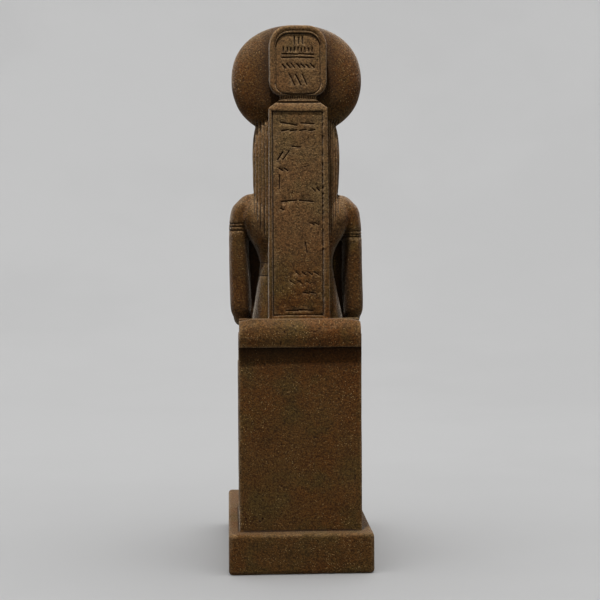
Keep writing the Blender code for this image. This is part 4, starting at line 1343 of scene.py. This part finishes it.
def studio():
    """A pale round bowl of a studio, flat under the statue and curving up slowly all round it."""
    profile = [(FLOOR_RADIUS * k / 4, 0) for k in range(1, 5)]
    for k in range(1, BOWL_STEPS + 1):
        a = math.radians(BOWL_TURN * k / BOWL_STEPS)
        profile.append((FLOOR_RADIUS + BOWL_RADIUS * math.sin(a), BOWL_RADIUS - BOWL_RADIUS * math.cos(a)))
    turns = [math.tau * i / BOWL_SIDES for i in range(BOWL_SIDES)]
    round_about = [(math.cos(turn), math.sin(turn)) for turn in turns]
    bm = bmesh.new()
    middle = bm.verts.new((0, 0, 0))
    loops = [[bm.verts.new((r * c, r * s, z)) for c, s in round_about] for r, z in profile]
    for i in range(BOWL_SIDES):
        j = (i + 1) % BOWL_SIDES
        bm.faces.new((middle, loops[0][i], loops[0][j]))
        for inner, outer in zip(loops, loops[1:]):
            bm.faces.new((inner[i], outer[i], outer[j], inner[j]))
    mesh = bpy.data.meshes.new("studio_floor")
    bm.to_mesh(mesh)
    bm.free()
    mesh.shade_smooth()
    mesh.materials.append(studio_paint())
    floor = bpy.data.objects.new("studio_floor", mesh)
    bpy.context.scene.collection.objects.link(floor)


# Two lamps, in degrees above the level and round from behind, metres and watts. The small key light
# stands nearly over the statue, behind it and a little to the picture's left, and the wide weak one in
# front. Both point at one height on the figure's back. An even dome gives the rest.
KEY_ELEVATION = 74
KEY_TURN = 16
KEY_SIZE = 0.10
KEY_POWER = 112
FRONT_ELEVATION = 42
FRONT_TURN = 200
FRONT_SIZE = 1.2
FRONT_POWER = 34
LAMP_DISTANCE = 2.0
LAMP_AIM = 0.35
DOME_STRENGTH = 1.0


def lamp_on(lit, name, elevation, turn, size, power):
    """A round lamp that lights one collection only."""
    middle = Vector((0, FIGURE_BACK, LAMP_AIM))
    elevation, turn = math.radians(elevation), math.radians(turn)
    level = Vector((math.sin(turn), math.cos(turn), 0)) * math.cos(elevation)
    place = middle + LAMP_DISTANCE * (level + Vector((0, 0, math.sin(elevation))))
    light = bpy.data.lights.new(name, "AREA")
    light.shape = "DISK"
    light.size = size
    light.energy = power
    lamp = bpy.data.objects.new(name, light)
    bpy.context.scene.collection.objects.link(lamp)
    lamp.location = place
    lamp.rotation_mode = "QUATERNION"
    lamp.rotation_quaternion = (middle - place).to_track_quat("-Z", "Y")
    lamp.light_linking.receiver_collection = lit


def lights(stone):
    """The key light and the front light, for the stone alone, and a white dome for everything."""
    lit = bpy.data.collections.new("lit_by_lamps")
    lit.objects.link(stone)
    lamp_on(lit, "key_light", KEY_ELEVATION, KEY_TURN, KEY_SIZE, KEY_POWER)
    lamp_on(lit, "front_light", FRONT_ELEVATION, FRONT_TURN, FRONT_SIZE, FRONT_POWER)
    world = bpy.data.worlds.new("studio")
    bpy.context.scene.world = world
    world.use_nodes = True
    dome = world.node_tree.nodes["Background"]
    dome.inputs["Color"].default_value = (1, 1, 1, 1)
    dome.inputs["Strength"].default_value = DOME_STRENGTH


# The photograph's view: from behind the statue and a little to the figure's left, level with its chest,
# and turned slightly down. Lens and sensor are in millimetres, and the turns in degrees.
LENS = 85.83
SENSOR = 36
CAMERA_PLACE = (0.0765, PLINTH_REAR + 1.53, 0.364)
CAMERA_PITCH = 2.49
CAMERA_YAW = 2.84
CAMERA_ROLL = 0.33


def camera():
    """The scene's camera, set up in the photograph's view."""
    lens = bpy.data.cameras.new("camera")
    lens.sensor_width = SENSOR
    lens.lens = LENS
    made = bpy.data.objects.new("camera", lens)
    bpy.context.scene.collection.objects.link(made)
    turned = Matrix.Rotation(math.radians(180 - CAMERA_YAW), 4, "Z")
    turned @= Matrix.Rotation(math.radians(90 - CAMERA_PITCH), 4, "X")
    turned @= Matrix.Rotation(math.radians(-CAMERA_ROLL), 4, "Z")
    made.matrix_world = Matrix.Translation(CAMERA_PLACE) @ turned
    bpy.context.scene.camera = made


camera()
stone = statue()
stone.data.materials.clear()
stone.data.materials.append(sandstone())
studio()
lights(stone)
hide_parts(NODE)
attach(stone, "root")

bpy.context.scene.view_settings.view_transform = "Standard"
